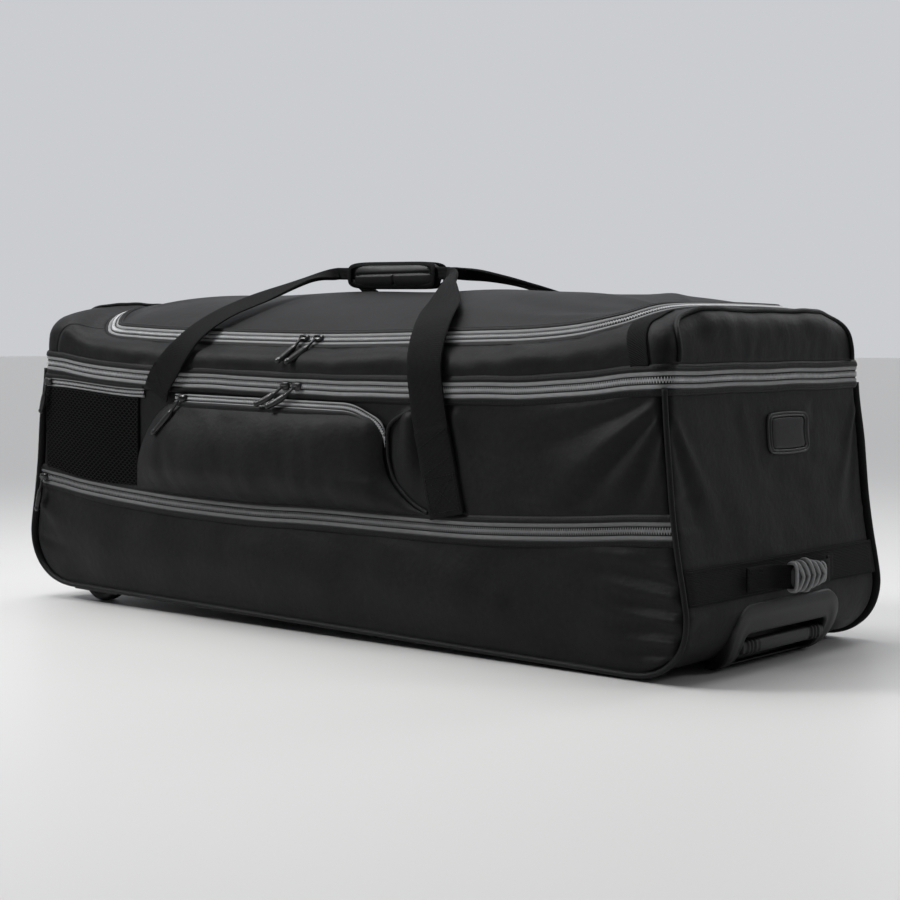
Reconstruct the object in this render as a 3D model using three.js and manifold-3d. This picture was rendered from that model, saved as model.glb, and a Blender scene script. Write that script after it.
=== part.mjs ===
// Wheeled kit bag: fabric panels, zips, piping, webbing, moulded handle and two wheels.
// Millimetres, +Z up. +X is the tow end, -X the wheel end, -Y the front with the pockets.
import * as THREE from 'three';
import { mergeVertices } from 'three/addons/utils/BufferGeometryUtils.js';
import { ParametricGeometry } from 'three/addons/geometries/ParametricGeometry.js';
import Module from 'manifold-3d';

const wasm = await Module();
wasm.setup();

// Overall sizes
const HALF_BASE = 510;
const WHEEL_END_LIFT = 18;
const BASE_Z = 5;
const FLAT_HALF = 445;
const HALF_WIDTH = 196;
const CLOTH = 2.2;
const GAP = 0.4;
const SEAM = 1;

// Zip bands
const MAIN_ZIP_WIDTH = 19;
const LOWER_ZIP_WIDTH = 20;
const LID_ZIP_WIDTH = 18;
const POCKET_ZIP_WIDTH = 17;
const MESH_ZIP_WIDTH = 11;
const TAPE = 1.5;
const CHAIN_WIDTH = 6;
const CHAIN_RISE = 1.3;

// Lid
const LID_HALF_LENGTH = 488;
const LID_CORNER = 28;
const LID_ZIP_HALF_LENGTH = 449;
const LID_ZIP_HALF_WIDTH = 171.5;
const LID_ZIP_CORNER = 82;
const DOME_POWER = 2.2;

// Webbing, piping and grip
const STRAP_THICK = 2;
const PIPING_RADIUS = 2.3;
const GRIP_LENGTH = 146;
const GRIP_CENTRE_X = -41;
const GRIP_CENTRE_Z = 412;
const GRIP_HEIGHT = 36;
const GRIP_DEPTH = 25;
const GRIP_PAD = 5;

// Tow loop
const TOW_GRIP_LENGTH = 72;
const TOW_GRIP_Y = 16;
const TOW_GRIP_Z = 95;
const TOW_GRIP_X = 530;

// Moulded handle
const TRAY_HALF_WIDTH = 107;
const TRAY_TOP = 72;
const TRAY_CORNER = 26;
const TRAY_WALL = 3.5;
const RECESS_HALF_WIDTH = 82;
const RECESS_LOW = 7;
const RECESS_HIGH = 43;
const RECESS_X = 472;
const BAR_X = 506.5;
const BAR_Z = 25;

// Wheels
const WHEEL_X = -412;
const WHEEL_Y = 158;
const WHEEL_RADIUS = 36;
const WHEEL_WIDTH = 24;
const AXLE_RADIUS = 4;
const BORE_RADIUS = 4.4;
const ARCH_RADIUS = 43;
const ARCH_WALL = 3;
const ARCH_HALF_DEPTH = 18;
const SKIRT_DROP = 9;

// End profile of the body: half length at each height
const END_PROFILE = [
  { z: 5, x: 445 },
  { z: 7, x: 462 },
  { z: 12, x: 478 },
  { z: 20, x: 491 },
  { z: 31, x: 502 },
  { z: 47, x: 510 },
  { z: 67, x: 513 },
  { z: 90, x: 510 },
  { z: 126, x: 503 },
  { z: 165, x: 497 },
  { z: 205, x: 493 },
  { z: 245, x: 489.5 },
  { z: 310, x: 486 },
];

// Half width of the body at each height
const SIDE_PROFILE = [
  { z: 5, y: 189 },
  { z: 20, y: 192 },
  { z: 60, y: 195.5 },
  { z: 110, y: HALF_WIDTH },
  { z: 310, y: HALF_WIDTH },
];

// Centre height of each long zip and the crest of the lid, along the bag
const LONG_LINES = [
  { x: -520, main: 296, lower: 146, lid: 367, crest: 368 },
  { x: -449, main: 291, lower: 140, lid: 367, crest: 370 },
  { x: -420, main: 287, lower: 136.5, lid: 352, crest: 374 },
  { x: -390, main: 284.5, lower: 134, lid: 339, crest: 377 },
  { x: -322, main: 281, lower: 130, lid: 334, crest: 382 },
  { x: -228, main: 279, lower: 126.5, lid: 332, crest: 385 },
  { x: -95, main: 278, lower: 126, lid: 331, crest: 389 },
  { x: 12, main: 277.5, lower: 129.5, lid: 331.5, crest: 391 },
  { x: 133, main: 279, lower: 131, lid: 335, crest: 392 },
  { x: 232, main: 281.5, lower: 133, lid: 338.5, crest: 390 },
  { x: 303, main: 284, lower: 137, lid: 341.5, crest: 387.5 },
  { x: 368, main: 289, lower: 142, lid: 348, crest: 384.5 },
  { x: 410, main: 293, lower: 146, lid: 358, crest: 381 },
  { x: 449, main: 298, lower: 150, lid: 372, crest: 377 },
  { x: 520, main: 303, lower: 155, lid: 372, crest: 376 },
];

// Outline of the bulging front pocket: left and right edge at each height
const POCKET_EDGES = [
  { z: 136, left: -300, right: 192 },
  { z: 141, left: -300, right: 190 },
  { z: 154, left: -299, right: 158 },
  { z: 179, left: -295, right: 129 },
  { z: 200, left: -286, right: 120 },
  { z: 217, left: -275, right: 118 },
  { z: 236, left: -258, right: 118 },
  { z: 246, left: -243, right: 110 },
  { z: 252, left: -230, right: 90 },
];
const POCKET_DEPTH = 20;
const POCKET_TOP = 251;
const MESH_LEFT = -468;
const MESH_RIGHT = -303;
const MESH_TOP = 254;

// Front carry strap, tow end anchor to wheel end anchor; the back strap mirrors it
const STRAP_ROWS = [
  { x: 211, y: -199.3, z: 145, nx: 0, ny: -1, nz: 0, width: 49 },
  { x: 203, y: -200.0, z: 180, nx: 0, ny: -1, nz: 0, width: 49 },
  { x: 195, y: -200.6, z: 217, nx: 0, ny: -1, nz: 0, width: 49 },
  { x: 188, y: -202.2, z: 250, nx: 0, ny: -1, nz: 0, width: 49 },
  { x: 184, y: -204, z: 284, nx: 0, ny: -1, nz: 0, width: 49 },
  { x: 182, y: -204, z: 306, nx: 0, ny: -1, nz: 0.1, width: 49 },
  { x: 179, y: -198, z: 324, nx: 0, ny: -0.9, nz: 0.4, width: 49 },
  { x: 174, y: -186, z: 341, nx: 0, ny: -0.8, nz: 0.6, width: 49 },
  { x: 163, y: -164, z: 358, nx: 0, ny: -0.65, nz: 0.75, width: 49 },
  { x: 140, y: -122, z: 378, nx: 0, ny: -0.5, nz: 0.87, width: 48 },
  { x: 108, y: -75, z: 398, nx: 0.2, ny: -0.6, nz: 0.8, width: 44 },
  { x: 78, y: -34, z: 408.5, nx: 0.2, ny: -0.9, nz: 0.4, width: 34 },
  { x: 54, y: -11, z: 411.5, nx: 0, ny: -1, nz: 0.1, width: 26 },
  { x: 37, y: -6.2, z: 412, nx: 0, ny: -1, nz: 0, width: 20 },
  { x: -41, y: -6.2, z: 412, nx: 0, ny: -1, nz: 0, width: 20 },
  { x: -119, y: -6.2, z: 412, nx: 0, ny: -1, nz: 0, width: 20 },
  { x: -134, y: -12, z: 411.5, nx: 0, ny: -1, nz: 0.1, width: 26 },
  { x: -148, y: -38, z: 405.5, nx: -0.1, ny: -0.8, nz: 0.6, width: 36 },
  { x: -162, y: -88, z: 388, nx: 0, ny: -0.6, nz: 0.8, width: 46 },
  { x: -186, y: -138, z: 366, nx: 0, ny: -0.6, nz: 0.8, width: 49 },
  { x: -198, y: -166, z: 350, nx: 0, ny: -0.7, nz: 0.7, width: 49 },
  { x: -207, y: -187, z: 333, nx: 0, ny: -0.85, nz: 0.5, width: 49 },
  { x: -217, y: -200, z: 314, nx: 0, ny: -1, nz: 0.2, width: 49 },
  { x: -230, y: -204, z: 297, nx: 0, ny: -1, nz: 0, width: 49 },
  { x: -246, y: -203.6, z: 281, nx: 0, ny: -1, nz: 0, width: 49 },
  { x: -255, y: -202, z: 269, nx: 0, ny: -1, nz: 0, width: 49 },
  { x: -259, y: -201.2, z: 261, nx: 0, ny: -1, nz: 0, width: 49 },
];

// Tow loop: webbing from its sewn patch, through the grip, back to the slot
const TOW_ROWS = [
  { x: 515.5, y: -92, z: 97 },
  { x: 515.2, y: -58, z: 97 },
  { x: 519.5, y: -40, z: 96.5 },
  { x: 527.5, y: -27, z: 95.5 },
  { x: TOW_GRIP_X, y: -16, z: TOW_GRIP_Z },
  { x: TOW_GRIP_X, y: 16, z: TOW_GRIP_Z },
  { x: TOW_GRIP_X, y: 48, z: TOW_GRIP_Z },
  { x: 527.5, y: 59, z: 95.5 },
  { x: 519.5, y: 71, z: 96.5 },
  { x: 515.5, y: 84, z: 97 },
];

// Materials
const BLACK_CLOTH = { color: 0x26282a, roughness: 0.62, metalness: 0 };
const BLACK_WEB = { color: 0x1d1e20, roughness: 0.8, metalness: 0 };
const MESH_CLOTH = { color: 0x17181a, roughness: 0.85, metalness: 0 };
const GREY_ZIP = { color: 0x77787a, roughness: 0.6, metalness: 0 };
const GREY_RUBBER = { color: 0x6a6c6e, roughness: 0.7, metalness: 0 };
const BLACK_PLASTIC = { color: 0x202123, roughness: 0.45, metalness: 0 };
const WHEEL_RUBBER = { color: 0x18191a, roughness: 0.7, metalness: 0 };
const STEEL = { color: 0x8d9094, roughness: 0.35, metalness: 1 };
const DARK_METAL = { color: 0x333537, roughness: 0.45, metalness: 0.8 };

const bag = new THREE.Group();

// Interpolates a table smoothly in one of its columns
function lookup(table, key, at, column) {
  let i = 0;
  while (i < table.length - 2 && at > table[i + 1][key]) i += 1;
  const a = table[i];
  const b = table[i + 1];
  const before = table[Math.max(i - 1, 0)];
  const after = table[Math.min(i + 2, table.length - 1)];
  const step = b[key] - a[key];
  const t = THREE.MathUtils.clamp((at - a[key]) / step, 0, 1);
  const slopeA = (b[column] - before[column]) / Math.max(b[key] - before[key], 1e-6);
  const slopeB = (after[column] - a[column]) / Math.max(after[key] - a[key], 1e-6);
  const t2 = t * t;
  const t3 = t2 * t;
  return (2 * t3 - 3 * t2 + 1) * a[column] + (t3 - 2 * t2 + t) * step * slopeA
    + (3 * t2 - 2 * t3) * b[column] + (t3 - t2) * step * slopeB;
}

const mainZip = (x) => lookup(LONG_LINES, 'x', x, 'main');
const lowerZip = (x) => lookup(LONG_LINES, 'x', x, 'lower');
const lidZip = (x) => lookup(LONG_LINES, 'x', x, 'lid');
const crest = (x) => lookup(LONG_LINES, 'x', x, 'crest');
const halfLength = (z) => lookup(END_PROFILE, 'z', z, 'x');
const halfWidth = (z) => lookup(SIDE_PROFILE, 'z', z, 'y');
const tiltAt = (x) => WHEEL_END_LIFT * (HALF_BASE - x) / (2 * HALF_BASE);
const vec = (x, y, z) => new THREE.Vector3(x, y, z);

// Closed mesh from points and triangles, turned right side out
function solid(points, triangles) {
  let volume = 0;
  const cross = new THREE.Vector3();
  for (const [a, b, c] of triangles) {
    volume += points[a].dot(cross.crossVectors(points[b], points[c]));
  }
  const index = [];
  for (const [a, b, c] of triangles) {
    if (volume > 0) index.push(a, b, c);
    else index.push(a, c, b);
  }
  const geometry = new THREE.BufferGeometry().setFromPoints(points);
  geometry.setIndex(index);
  return geometry;
}

// Cloth sheet of even thickness: the surface is its outer face, and the inner face lies behind it
function cloth(surface, columns, rows, thickness = CLOTH) {
  const step = 1e-3;
  const normal = (u, v) => {
    const du = surface(Math.min(u + step, 1), v).sub(surface(Math.max(u - step, 0), v));
    const dv = surface(u, Math.min(v + step, 1)).sub(surface(u, Math.max(v - step, 0)));
    return du.cross(dv).normalize();
  };
  const outer = new ParametricGeometry((u, v, p) => p.copy(surface(u, v)), columns, rows);
  const inner = new ParametricGeometry((u, v, p) => {
    p.copy(surface(u, v)).addScaledVector(normal(u, v), -thickness);
  }, columns, rows);
  const points = [];
  for (const sheet of [outer, inner]) {
    const position = sheet.getAttribute('position');
    for (let i = 0; i < position.count; i += 1) {
      points.push(new THREE.Vector3().fromBufferAttribute(position, i));
    }
  }
  const count = (columns + 1) * (rows + 1);
  const at = (i, j) => j * (columns + 1) + i;
  const triangles = [];
  for (let j = 0; j < rows; j += 1) {
    for (let i = 0; i < columns; i += 1) {
      const quad = [at(i, j), at(i + 1, j), at(i + 1, j + 1), at(i, j + 1)];
      triangles.push([quad[0], quad[1], quad[2]], [quad[0], quad[2], quad[3]]);
      triangles.push([quad[0] + count, quad[2] + count, quad[1] + count]);
      triangles.push([quad[0] + count, quad[3] + count, quad[2] + count]);
    }
  }
  const rim = [];
  for (let i = 0; i < columns; i += 1) rim.push(at(i, 0));
  for (let j = 0; j < rows; j += 1) rim.push(at(columns, j));
  for (let i = columns; i > 0; i -= 1) rim.push(at(i, rows));
  for (let j = rows; j > 0; j -= 1) rim.push(at(0, j));
  rim.forEach((a, k) => {
    const b = rim[(k + 1) % rim.length];
    triangles.push([a, a + count, b], [b, a + count, b + count]);
  });
  return solid(points, triangles);
}

// Section swept along frames; each frame has a point and two directions for the section's axes
function sweep(frames, section, closed = false) {
  const points = [];
  const triangles = [];
  const sides = section.length;
  for (const frame of frames) {
    const shape = frame.section ?? section;
    for (const [a, b] of shape) {
      points.push(frame.point.clone().addScaledVector(frame.across, a).addScaledVector(frame.out, b));
    }
  }
  const rings = closed ? frames.length : frames.length - 1;
  for (let j = 0; j < rings; j += 1) {
    const here = j * sides;
    const next = ((j + 1) % frames.length) * sides;
    for (let i = 0; i < sides; i += 1) {
      const k = (i + 1) % sides;
      triangles.push([here + i, here + k, next + k], [here + i, next + k, next + i]);
    }
  }
  if (!closed) {
    const contour = section.map(([a, b]) => new THREE.Vector2(a, b));
    const last = (frames.length - 1) * sides;
    for (const [a, b, c] of THREE.ShapeUtils.triangulateShape(contour, [])) {
      triangles.push([a, c, b], [last + a, last + b, last + c]);
    }
  }
  return solid(points, triangles);
}

// Frames along a row of points, with one direction held as near as possible to a wanted one
function framesAlong(points, wanted, closed = false) {
  const n = points.length;
  return points.map((point, i) => {
    const ahead = closed ? points[(i + 1) % n] : points[Math.min(i + 1, n - 1)];
    const behind = closed ? points[(i + n - 1) % n] : points[Math.max(i - 1, 0)];
    const tangent = ahead.clone().sub(behind).normalize();
    const want = typeof wanted === 'function' ? wanted(i) : wanted;
    const out = want.clone().addScaledVector(tangent, -want.dot(tangent)).normalize();
    return { point, out, across: tangent.clone().cross(out) };
  });
}

const flatBand = (width, thick) => [
  [-width / 2, 0], [width / 2, 0], [width / 2, thick], [-width / 2, thick],
];
const zipBand = (width, chain = CHAIN_WIDTH, rise = CHAIN_RISE) => [
  [-width / 2, 0], [width / 2, 0], [width / 2, TAPE], [chain / 2, TAPE],
  [chain / 2, TAPE + rise], [-chain / 2, TAPE + rise],
  [-chain / 2, TAPE], [-width / 2, TAPE],
];
const roundSection = (radius, sides = 5) => Array.from({ length: sides }, (_, i) => {
  const angle = (2 * Math.PI * i) / sides;
  return [radius * Math.cos(angle), radius * Math.sin(angle)];
});

// Smooth row of points through a list of points
function smooth(points, count, closed = false) {
  return new THREE.CatmullRomCurve3(points, closed, 'centripetal').getPoints(count);
}

function toManifold(geometry) {
  const bare = geometry.clone();
  bare.deleteAttribute('normal');
  bare.deleteAttribute('uv');
  const merged = mergeVertices(bare, 1e-4);
  return new wasm.Manifold(new wasm.Mesh({
    numProp: 3,
    vertProperties: new Float32Array(merged.getAttribute('position').array),
    triVerts: new Uint32Array(merged.getIndex().array),
  }));
}

function fromManifold(manifold) {
  const mesh = manifold.getMesh();
  const geometry = new THREE.BufferGeometry();
  geometry.setAttribute('position', new THREE.BufferAttribute(new Float32Array(mesh.vertProperties), 3));
  geometry.setIndex(Array.from(mesh.triVerts));
  return geometry;
}

// Adds a piece; fabric pieces follow the small rise towards the wheel end
function add(name, geometry, look, tilted = true) {
  const shape = geometry.clone();
  if (tilted) {
    const position = shape.getAttribute('position');
    for (let i = 0; i < position.count; i += 1) {
      position.setZ(i, position.getZ(i) + tiltAt(position.getX(i)));
    }
  }
  const mesh = new THREE.Mesh(shape, new THREE.MeshStandardMaterial(look));
  mesh.name = name;
  bag.add(mesh);
}

function box(x0, x1, y0, y1, z0, z1) {
  const geometry = new THREE.BoxGeometry(x1 - x0, y1 - y0, z1 - z0);
  geometry.translate((x0 + x1) / 2, (y0 + y1) / 2, (z0 + z1) / 2);
  return toManifold(geometry);
}

// Prism of an XZ outline between two Y planes
function prismY(outline, y0, y1) {
  const shape = new THREE.Shape(outline.map(([x, z]) => new THREE.Vector2(x, z)));
  const geometry = new THREE.ExtrudeGeometry(shape, { depth: y1 - y0, bevelEnabled: false });
  geometry.rotateX(Math.PI / 2);
  geometry.translate(0, y1, 0);
  return toManifold(geometry);
}

// Prism of a YZ outline between two X planes
function prismX(outline, x0, x1) {
  const shape = new THREE.Shape(outline.map(([y, z]) => new THREE.Vector2(y, z)));
  const geometry = new THREE.ExtrudeGeometry(shape, { depth: x1 - x0, bevelEnabled: false });
  geometry.applyMatrix4(new THREE.Matrix4().makeBasis(vec(0, 1, 0), vec(0, 0, 1), vec(1, 0, 0)));
  geometry.translate(x0, 0, 0);
  return toManifold(geometry);
}

// Tray outline seen from the end: upright sides, round upper corners
function trayOutline(grow) {
  const half = TRAY_HALF_WIDTH + grow;
  const top = TRAY_TOP + grow;
  const points = [[-half, -20], [half, -20]];
  for (let i = 0; i <= 6; i += 1) {
    const angle = (Math.PI / 2) * (i / 6);
    points.push([half - TRAY_CORNER * (1 - Math.cos(angle)), top - TRAY_CORNER * (1 - Math.sin(angle))]);
  }
  for (let i = 6; i >= 0; i -= 1) {
    const angle = (Math.PI / 2) * (i / 6);
    points.push([-half + TRAY_CORNER * (1 - Math.cos(angle)), top - TRAY_CORNER * (1 - Math.sin(angle))]);
  }
  return points;
}

// End profile drawn inward by a set distance, as heights and half lengths
function insetProfile(inset) {
  const rows = [];
  for (let i = 0; i <= 60; i += 1) {
    const z = BASE_Z + (305 - BASE_Z) * (i / 60) ** 1.6;
    const slope = (halfLength(z + 0.5) - halfLength(Math.max(z - 0.5, BASE_Z))) / (z === BASE_Z ? 0.5 : 1);
    const scale = inset / Math.hypot(1, slope);
    rows.push({ z: z + slope * scale, x: halfLength(z) - scale });
  }
  rows[0] = { z: BASE_Z + inset, x: FLAT_HALF };
  return rows.filter((row, i) => i === 0 || row.z > rows[0].z + 0.2);
}
const INNER_PROFILE = insetProfile(CLOTH + 2.5 * GAP);
function innerHalfLength(z) {
  const rows = INNER_PROFILE;
  let i = 0;
  while (i < rows.length - 2 && z > rows[i + 1].z) i += 1;
  const t = THREE.MathUtils.clamp((z - rows[i].z) / (rows[i + 1].z - rows[i].z), 0, 1);
  return rows[i].x + t * (rows[i + 1].x - rows[i].x);
}

// Front or back panel between two lines of height; side is -1 for the front and 1 for the back
const LOW_ROWS = [0, 0.03, 0.08, 0.16, 0.3, 0.48, 0.7, 0.88, 1];
const HIGH_ROWS = [0, 0.1, 0.35, 0.65, 0.9, 1];
function spread(rows, v) {
  const at = v * (rows.length - 1);
  const i = Math.min(Math.floor(at), rows.length - 2);
  return rows[i] + (rows[i + 1] - rows[i]) * (at - i);
}
// Swell over the height of a panel, with flat margins for the seams
function swellAt(rise) {
  return Math.sin(Math.PI * THREE.MathUtils.clamp((rise - 0.1) / 0.78, 0, 1));
}
function sidePanel(side, low, high, bulge, rows) {
  return (u, v) => {
    const across = side * (1 - 2 * u);
    const rise = spread(rows, v);
    let x = across * HALF_BASE;
    let z = 0;
    for (let i = 0; i < 6; i += 1) {
      z = low(x) + rise * (high(x) - low(x));
      x = across * innerHalfLength(z);
    }
    const swell = bulge * Math.sin(Math.PI * u) ** 0.7 * swellAt(rise);
    return vec(x, side * (halfWidth(z) + swell), z);
  };
}
const floorLine = () => BASE_Z + CLOTH + GAP;
const bodyTop = (x) => mainZip(x) - MAIN_ZIP_WIDTH / 2 - 0.5;
const UPPER_SWELL = 2;

const LOWER_SWELL = 7;
const underLowerZip = (x) => lowerZip(x) - SEAM;
const overLowerZip = (x) => lowerZip(x) + SEAM;

add('front_lower_panel', cloth(sidePanel(-1, floorLine, underLowerZip, LOWER_SWELL, LOW_ROWS), 18, 8),
  BLACK_CLOTH);
add('front_upper_panel', cloth(sidePanel(-1, overLowerZip, bodyTop, UPPER_SWELL, HIGH_ROWS), 18, 5),
  BLACK_CLOTH);
add('back_panel', cloth(sidePanel(1, floorLine, bodyTop, UPPER_SWELL, LOW_ROWS), 18, 8), BLACK_CLOTH);

// Gusset round the ends and under the base, from one height to another down the end profile
function endPanel(end, low, high) {
  return (u, v) => {
    const z = low + v * (high - low);
    return vec(end * halfLength(z), end * (2 * u - 1) * halfWidth(z), z);
  };
}
function curvedEnd(end, high, power) {
  return (u, v) => {
    const z = BASE_Z + (high - BASE_Z) * v ** power;
    return vec(end * halfLength(z), end * (2 * u - 1) * halfWidth(z), z);
  };
}
const SPLIT_Z = 97;
const endTop = (end) => bodyTop(end * 487);
const rightLower = toManifold(cloth(curvedEnd(1, SPLIT_Z - GAP / 2, 2), 14, 10));
const trayHole = prismX(trayOutline(0.6), 450.5, 560);
add('right_end_panel', cloth(endPanel(1, SPLIT_Z + GAP / 2, endTop(1)), 8, 6), BLACK_CLOTH);
add('right_end_lower_panel', fromManifold(rightLower.subtract(trayHole)), BLACK_CLOTH);

const wheelZ = WHEEL_RADIUS - tiltAt(WHEEL_X);
const baseSheet = (u, v) => {
  const x = (2 * v - 1) * (FLAT_HALF - GAP);
  return vec(x, (2 * u - 1) * halfWidth(BASE_Z), BASE_Z);
};
let base = toManifold(cloth(baseSheet, 4, 8));
let leftEnd = toManifold(cloth(curvedEnd(-1, endTop(-1), 2.2), 8, 14));
for (const side of [-1, 1]) {
  const y0 = side * WHEEL_Y - ARCH_HALF_DEPTH - 0.6;
  const y1 = side * WHEEL_Y + ARCH_HALF_DEPTH + 0.6;
  const arch = box(WHEEL_X - ARCH_RADIUS - 0.6, WHEEL_X + ARCH_RADIUS + 0.6, y0, y1, 0, 20);
  base = base.subtract(arch);
  leftEnd = leftEnd.subtract(arch);
}
add('base_panel', fromManifold(base), BLACK_CLOTH);
add('left_end_panel', fromManifold(leftEnd), BLACK_CLOTH);

// Rounded rectangle in plan: points and outward directions, with even counts in sides and corners
const SIDE_STEPS = { long: 14, short: 6, corner: 5 };
function plan(halfX, halfY, radius) {
  const points = [];
  const corner = (cx, cy, from) => {
    for (let i = 0; i <= SIDE_STEPS.corner; i += 1) {
      const angle = from + (Math.PI / 2) * (i / SIDE_STEPS.corner);
      const out = vec(Math.cos(angle), Math.sin(angle), 0);
      points.push({ point: vec(cx, cy, 0).addScaledVector(out, radius), out });
    }
  };
  const straight = (from, to, out, steps) => {
    for (let i = 1; i < steps; i += 1) {
      points.push({ point: from.clone().lerp(to, i / steps), out: out.clone() });
    }
  };
  const x = halfX - radius;
  const y = halfY - radius;
  corner(x, -y, -Math.PI / 2);
  straight(vec(halfX, -y, 0), vec(halfX, y, 0), vec(1, 0, 0), SIDE_STEPS.short);
  corner(x, y, 0);
  straight(vec(x, halfY, 0), vec(-x, halfY, 0), vec(0, 1, 0), SIDE_STEPS.long);
  corner(-x, y, Math.PI / 2);
  straight(vec(-halfX, y, 0), vec(-halfX, -y, 0), vec(-1, 0, 0), SIDE_STEPS.short);
  corner(-x, -y, Math.PI);
  straight(vec(-x, -halfY, 0), vec(x, -halfY, 0), vec(0, -1, 0), SIDE_STEPS.long);
  return points;
}

// Main zip: a band right round the bag
const mainPlan = plan(LID_HALF_LENGTH + GAP, HALF_WIDTH + 0.3 + GAP, LID_CORNER);
const ringFrames = mainPlan.map(({ point, out }) => ({
  point: vec(point.x, point.y, mainZip(point.x)),
  out,
  across: vec(0, 0, 1),
}));
add('main_zip', sweep(ringFrames, zipBand(MAIN_ZIP_WIDTH), true), GREY_ZIP);

// Lower zip: a band along the front
const lowerPoints = Array.from({ length: 25 }, (_, i) => {
  const x = -492 + (984 * i) / 24;
  return vec(x, -(HALF_WIDTH + 0.3 + GAP), lowerZip(x));
});
add('lower_zip', sweep(framesAlong(lowerPoints, vec(0, -1, 0)), zipBand(LOWER_ZIP_WIDTH)), GREY_ZIP);

// Lid zip line and the slope of its band: steep along the front, almost flat at the ends
const zipPlan = plan(LID_ZIP_HALF_LENGTH, LID_ZIP_HALF_WIDTH, LID_ZIP_CORNER).map(({ point, out }) => {
  const ends = Math.abs(out.x);
  const slope = THREE.MathUtils.degToRad(50 - 36 * ends ** 1.5);
  const inward = out.clone().negate().multiplyScalar(Math.cos(slope));
  inward.z = Math.sin(slope);
  const middle = 1 - (point.y / LID_ZIP_HALF_WIDTH) ** 2;
  const endRise = (crest(point.x) - lidZip(point.x)) * ends ** 4 * middle;
  return { point: vec(point.x, point.y, lidZip(point.x) + 0.6 * endRise), out, inward };
});
const lidPlan = plan(LID_HALF_LENGTH, HALF_WIDTH, LID_CORNER);
const HALF_BAND = LID_ZIP_WIDTH / 2 + 0.6;

// Lid ring surface: from the main zip up over the shoulder to the lid zip, at a fraction of the plan
function lidRing(at, v, reach) {
  const n = lidPlan.length;
  const i = Math.floor(at) % n;
  const t = at - Math.floor(at);
  const j = (i + 1) % n;
  const foot = lidPlan[i].point.clone().lerp(lidPlan[j].point, t);
  foot.z = mainZip(foot.x) + MAIN_ZIP_WIDTH / 2 + 0.5;
  const edgeAt = (k) => zipPlan[k].point.clone().addScaledVector(zipPlan[k].inward, reach);
  const edge = edgeAt(i).lerp(edgeAt(j), t);
  const ends = THREE.MathUtils.lerp(Math.abs(lidPlan[i].out.x), Math.abs(lidPlan[j].out.x), t);
  const power = 2 / (2 + 1.4 * ends);
  const stop = THREE.MathUtils.degToRad(58 + 26 * ends);
  const angle = v * stop;
  const inset = (1 - Math.cos(angle) ** power) / (1 - Math.cos(stop) ** power);
  const rise = Math.sin(angle) ** power / Math.sin(stop) ** power;
  const point = foot.clone().lerp(edge, inset);
  point.z = foot.z + (edge.z - foot.z) * rise;
  return point;
}
const CORNER = SIDE_STEPS.corner;
const RIGHT_LAST = 2 * CORNER + SIDE_STEPS.short;
const BACK_LAST = RIGHT_LAST + SIDE_STEPS.long - 1;
const LEFT_FIRST = BACK_LAST + 1;
const LEFT_LAST = LEFT_FIRST + 2 * CORNER + SIDE_STEPS.short;
const RING_COUNT = lidPlan.length;
const LID_ROWS = 6;
const SLIT = 0.02;
function ringPiece(from, to, reach) {
  return cloth((u, v) => lidRing(from + u * (to - from), v, reach), Math.round(to - from), LID_ROWS);
}
add('lid_right_end', ringPiece(SLIT, RIGHT_LAST - SLIT, -HALF_BAND), BLACK_CLOTH);
add('lid_back_wall', ringPiece(RIGHT_LAST + SLIT, LEFT_FIRST - SLIT, -HALF_BAND), BLACK_CLOTH);
add('lid_left_end', ringPiece(LEFT_FIRST + SLIT, LEFT_LAST - SLIT, -HALF_BAND), BLACK_CLOTH);
add('lid_front_wall', ringPiece(LEFT_LAST + SLIT, RING_COUNT - SLIT, -HALF_BAND), BLACK_CLOTH);

// Lid zip: front and both ends; the back edge of the lid panel is its hinge
function lidBand(from, to) {
  const frames = [];
  for (let k = from; k <= to; k += 1) {
    const { point, out, inward } = zipPlan[k % RING_COUNT];
    const along = vec(-out.y, out.x, 0);
    const lift = along.clone().cross(inward).normalize();
    if (lift.z < 0) lift.negate();
    frames.push({ point: point.clone().addScaledVector(lift, -0.6), out: lift, across: inward });
  }
  return frames;
}
const HINGE_FIRST = RIGHT_LAST - CORNER + 1;
const HINGE_LAST = LEFT_FIRST + CORNER - 1;
const lidZipFrames = lidBand(HINGE_LAST + 1, RING_COUNT + HINGE_FIRST - 1);
const hingeFrames = lidBand(HINGE_FIRST, HINGE_LAST);
add('lid_zip', sweep(lidZipFrames, zipBand(LID_ZIP_WIDTH)), GREY_ZIP);
add('lid_hinge_strip', sweep(hingeFrames, flatBand(LID_ZIP_WIDTH, CLOTH)), BLACK_CLOTH);

// Domed lid panel inside the zip
const rimRun = [];
for (let k = LEFT_LAST - CORNER; k <= RING_COUNT + CORNER; k += 1) {
  const { point, inward } = zipPlan[k % RING_COUNT];
  rimRun.push(point.clone().addScaledVector(inward, HALF_BAND + 0.6));
}
const DOME_COLUMNS = rimRun.length - 1;
function dome(u, v) {
  const at = u * DOME_COLUMNS;
  const i = Math.min(Math.floor(at), DOME_COLUMNS - 1);
  const rim = rimRun[i].clone().lerp(rimRun[i + 1], at - i);
  const across = 2 * v - 1;
  const rise = Math.max(crest(rim.x) - rim.z, 2) * (1 - Math.abs(across) ** DOME_POWER);
  return vec(rim.x, -across * rim.y, rim.z + rise);
}
add('lid_top_panel', cloth(dome, DOME_COLUMNS, 8), BLACK_CLOTH);

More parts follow.
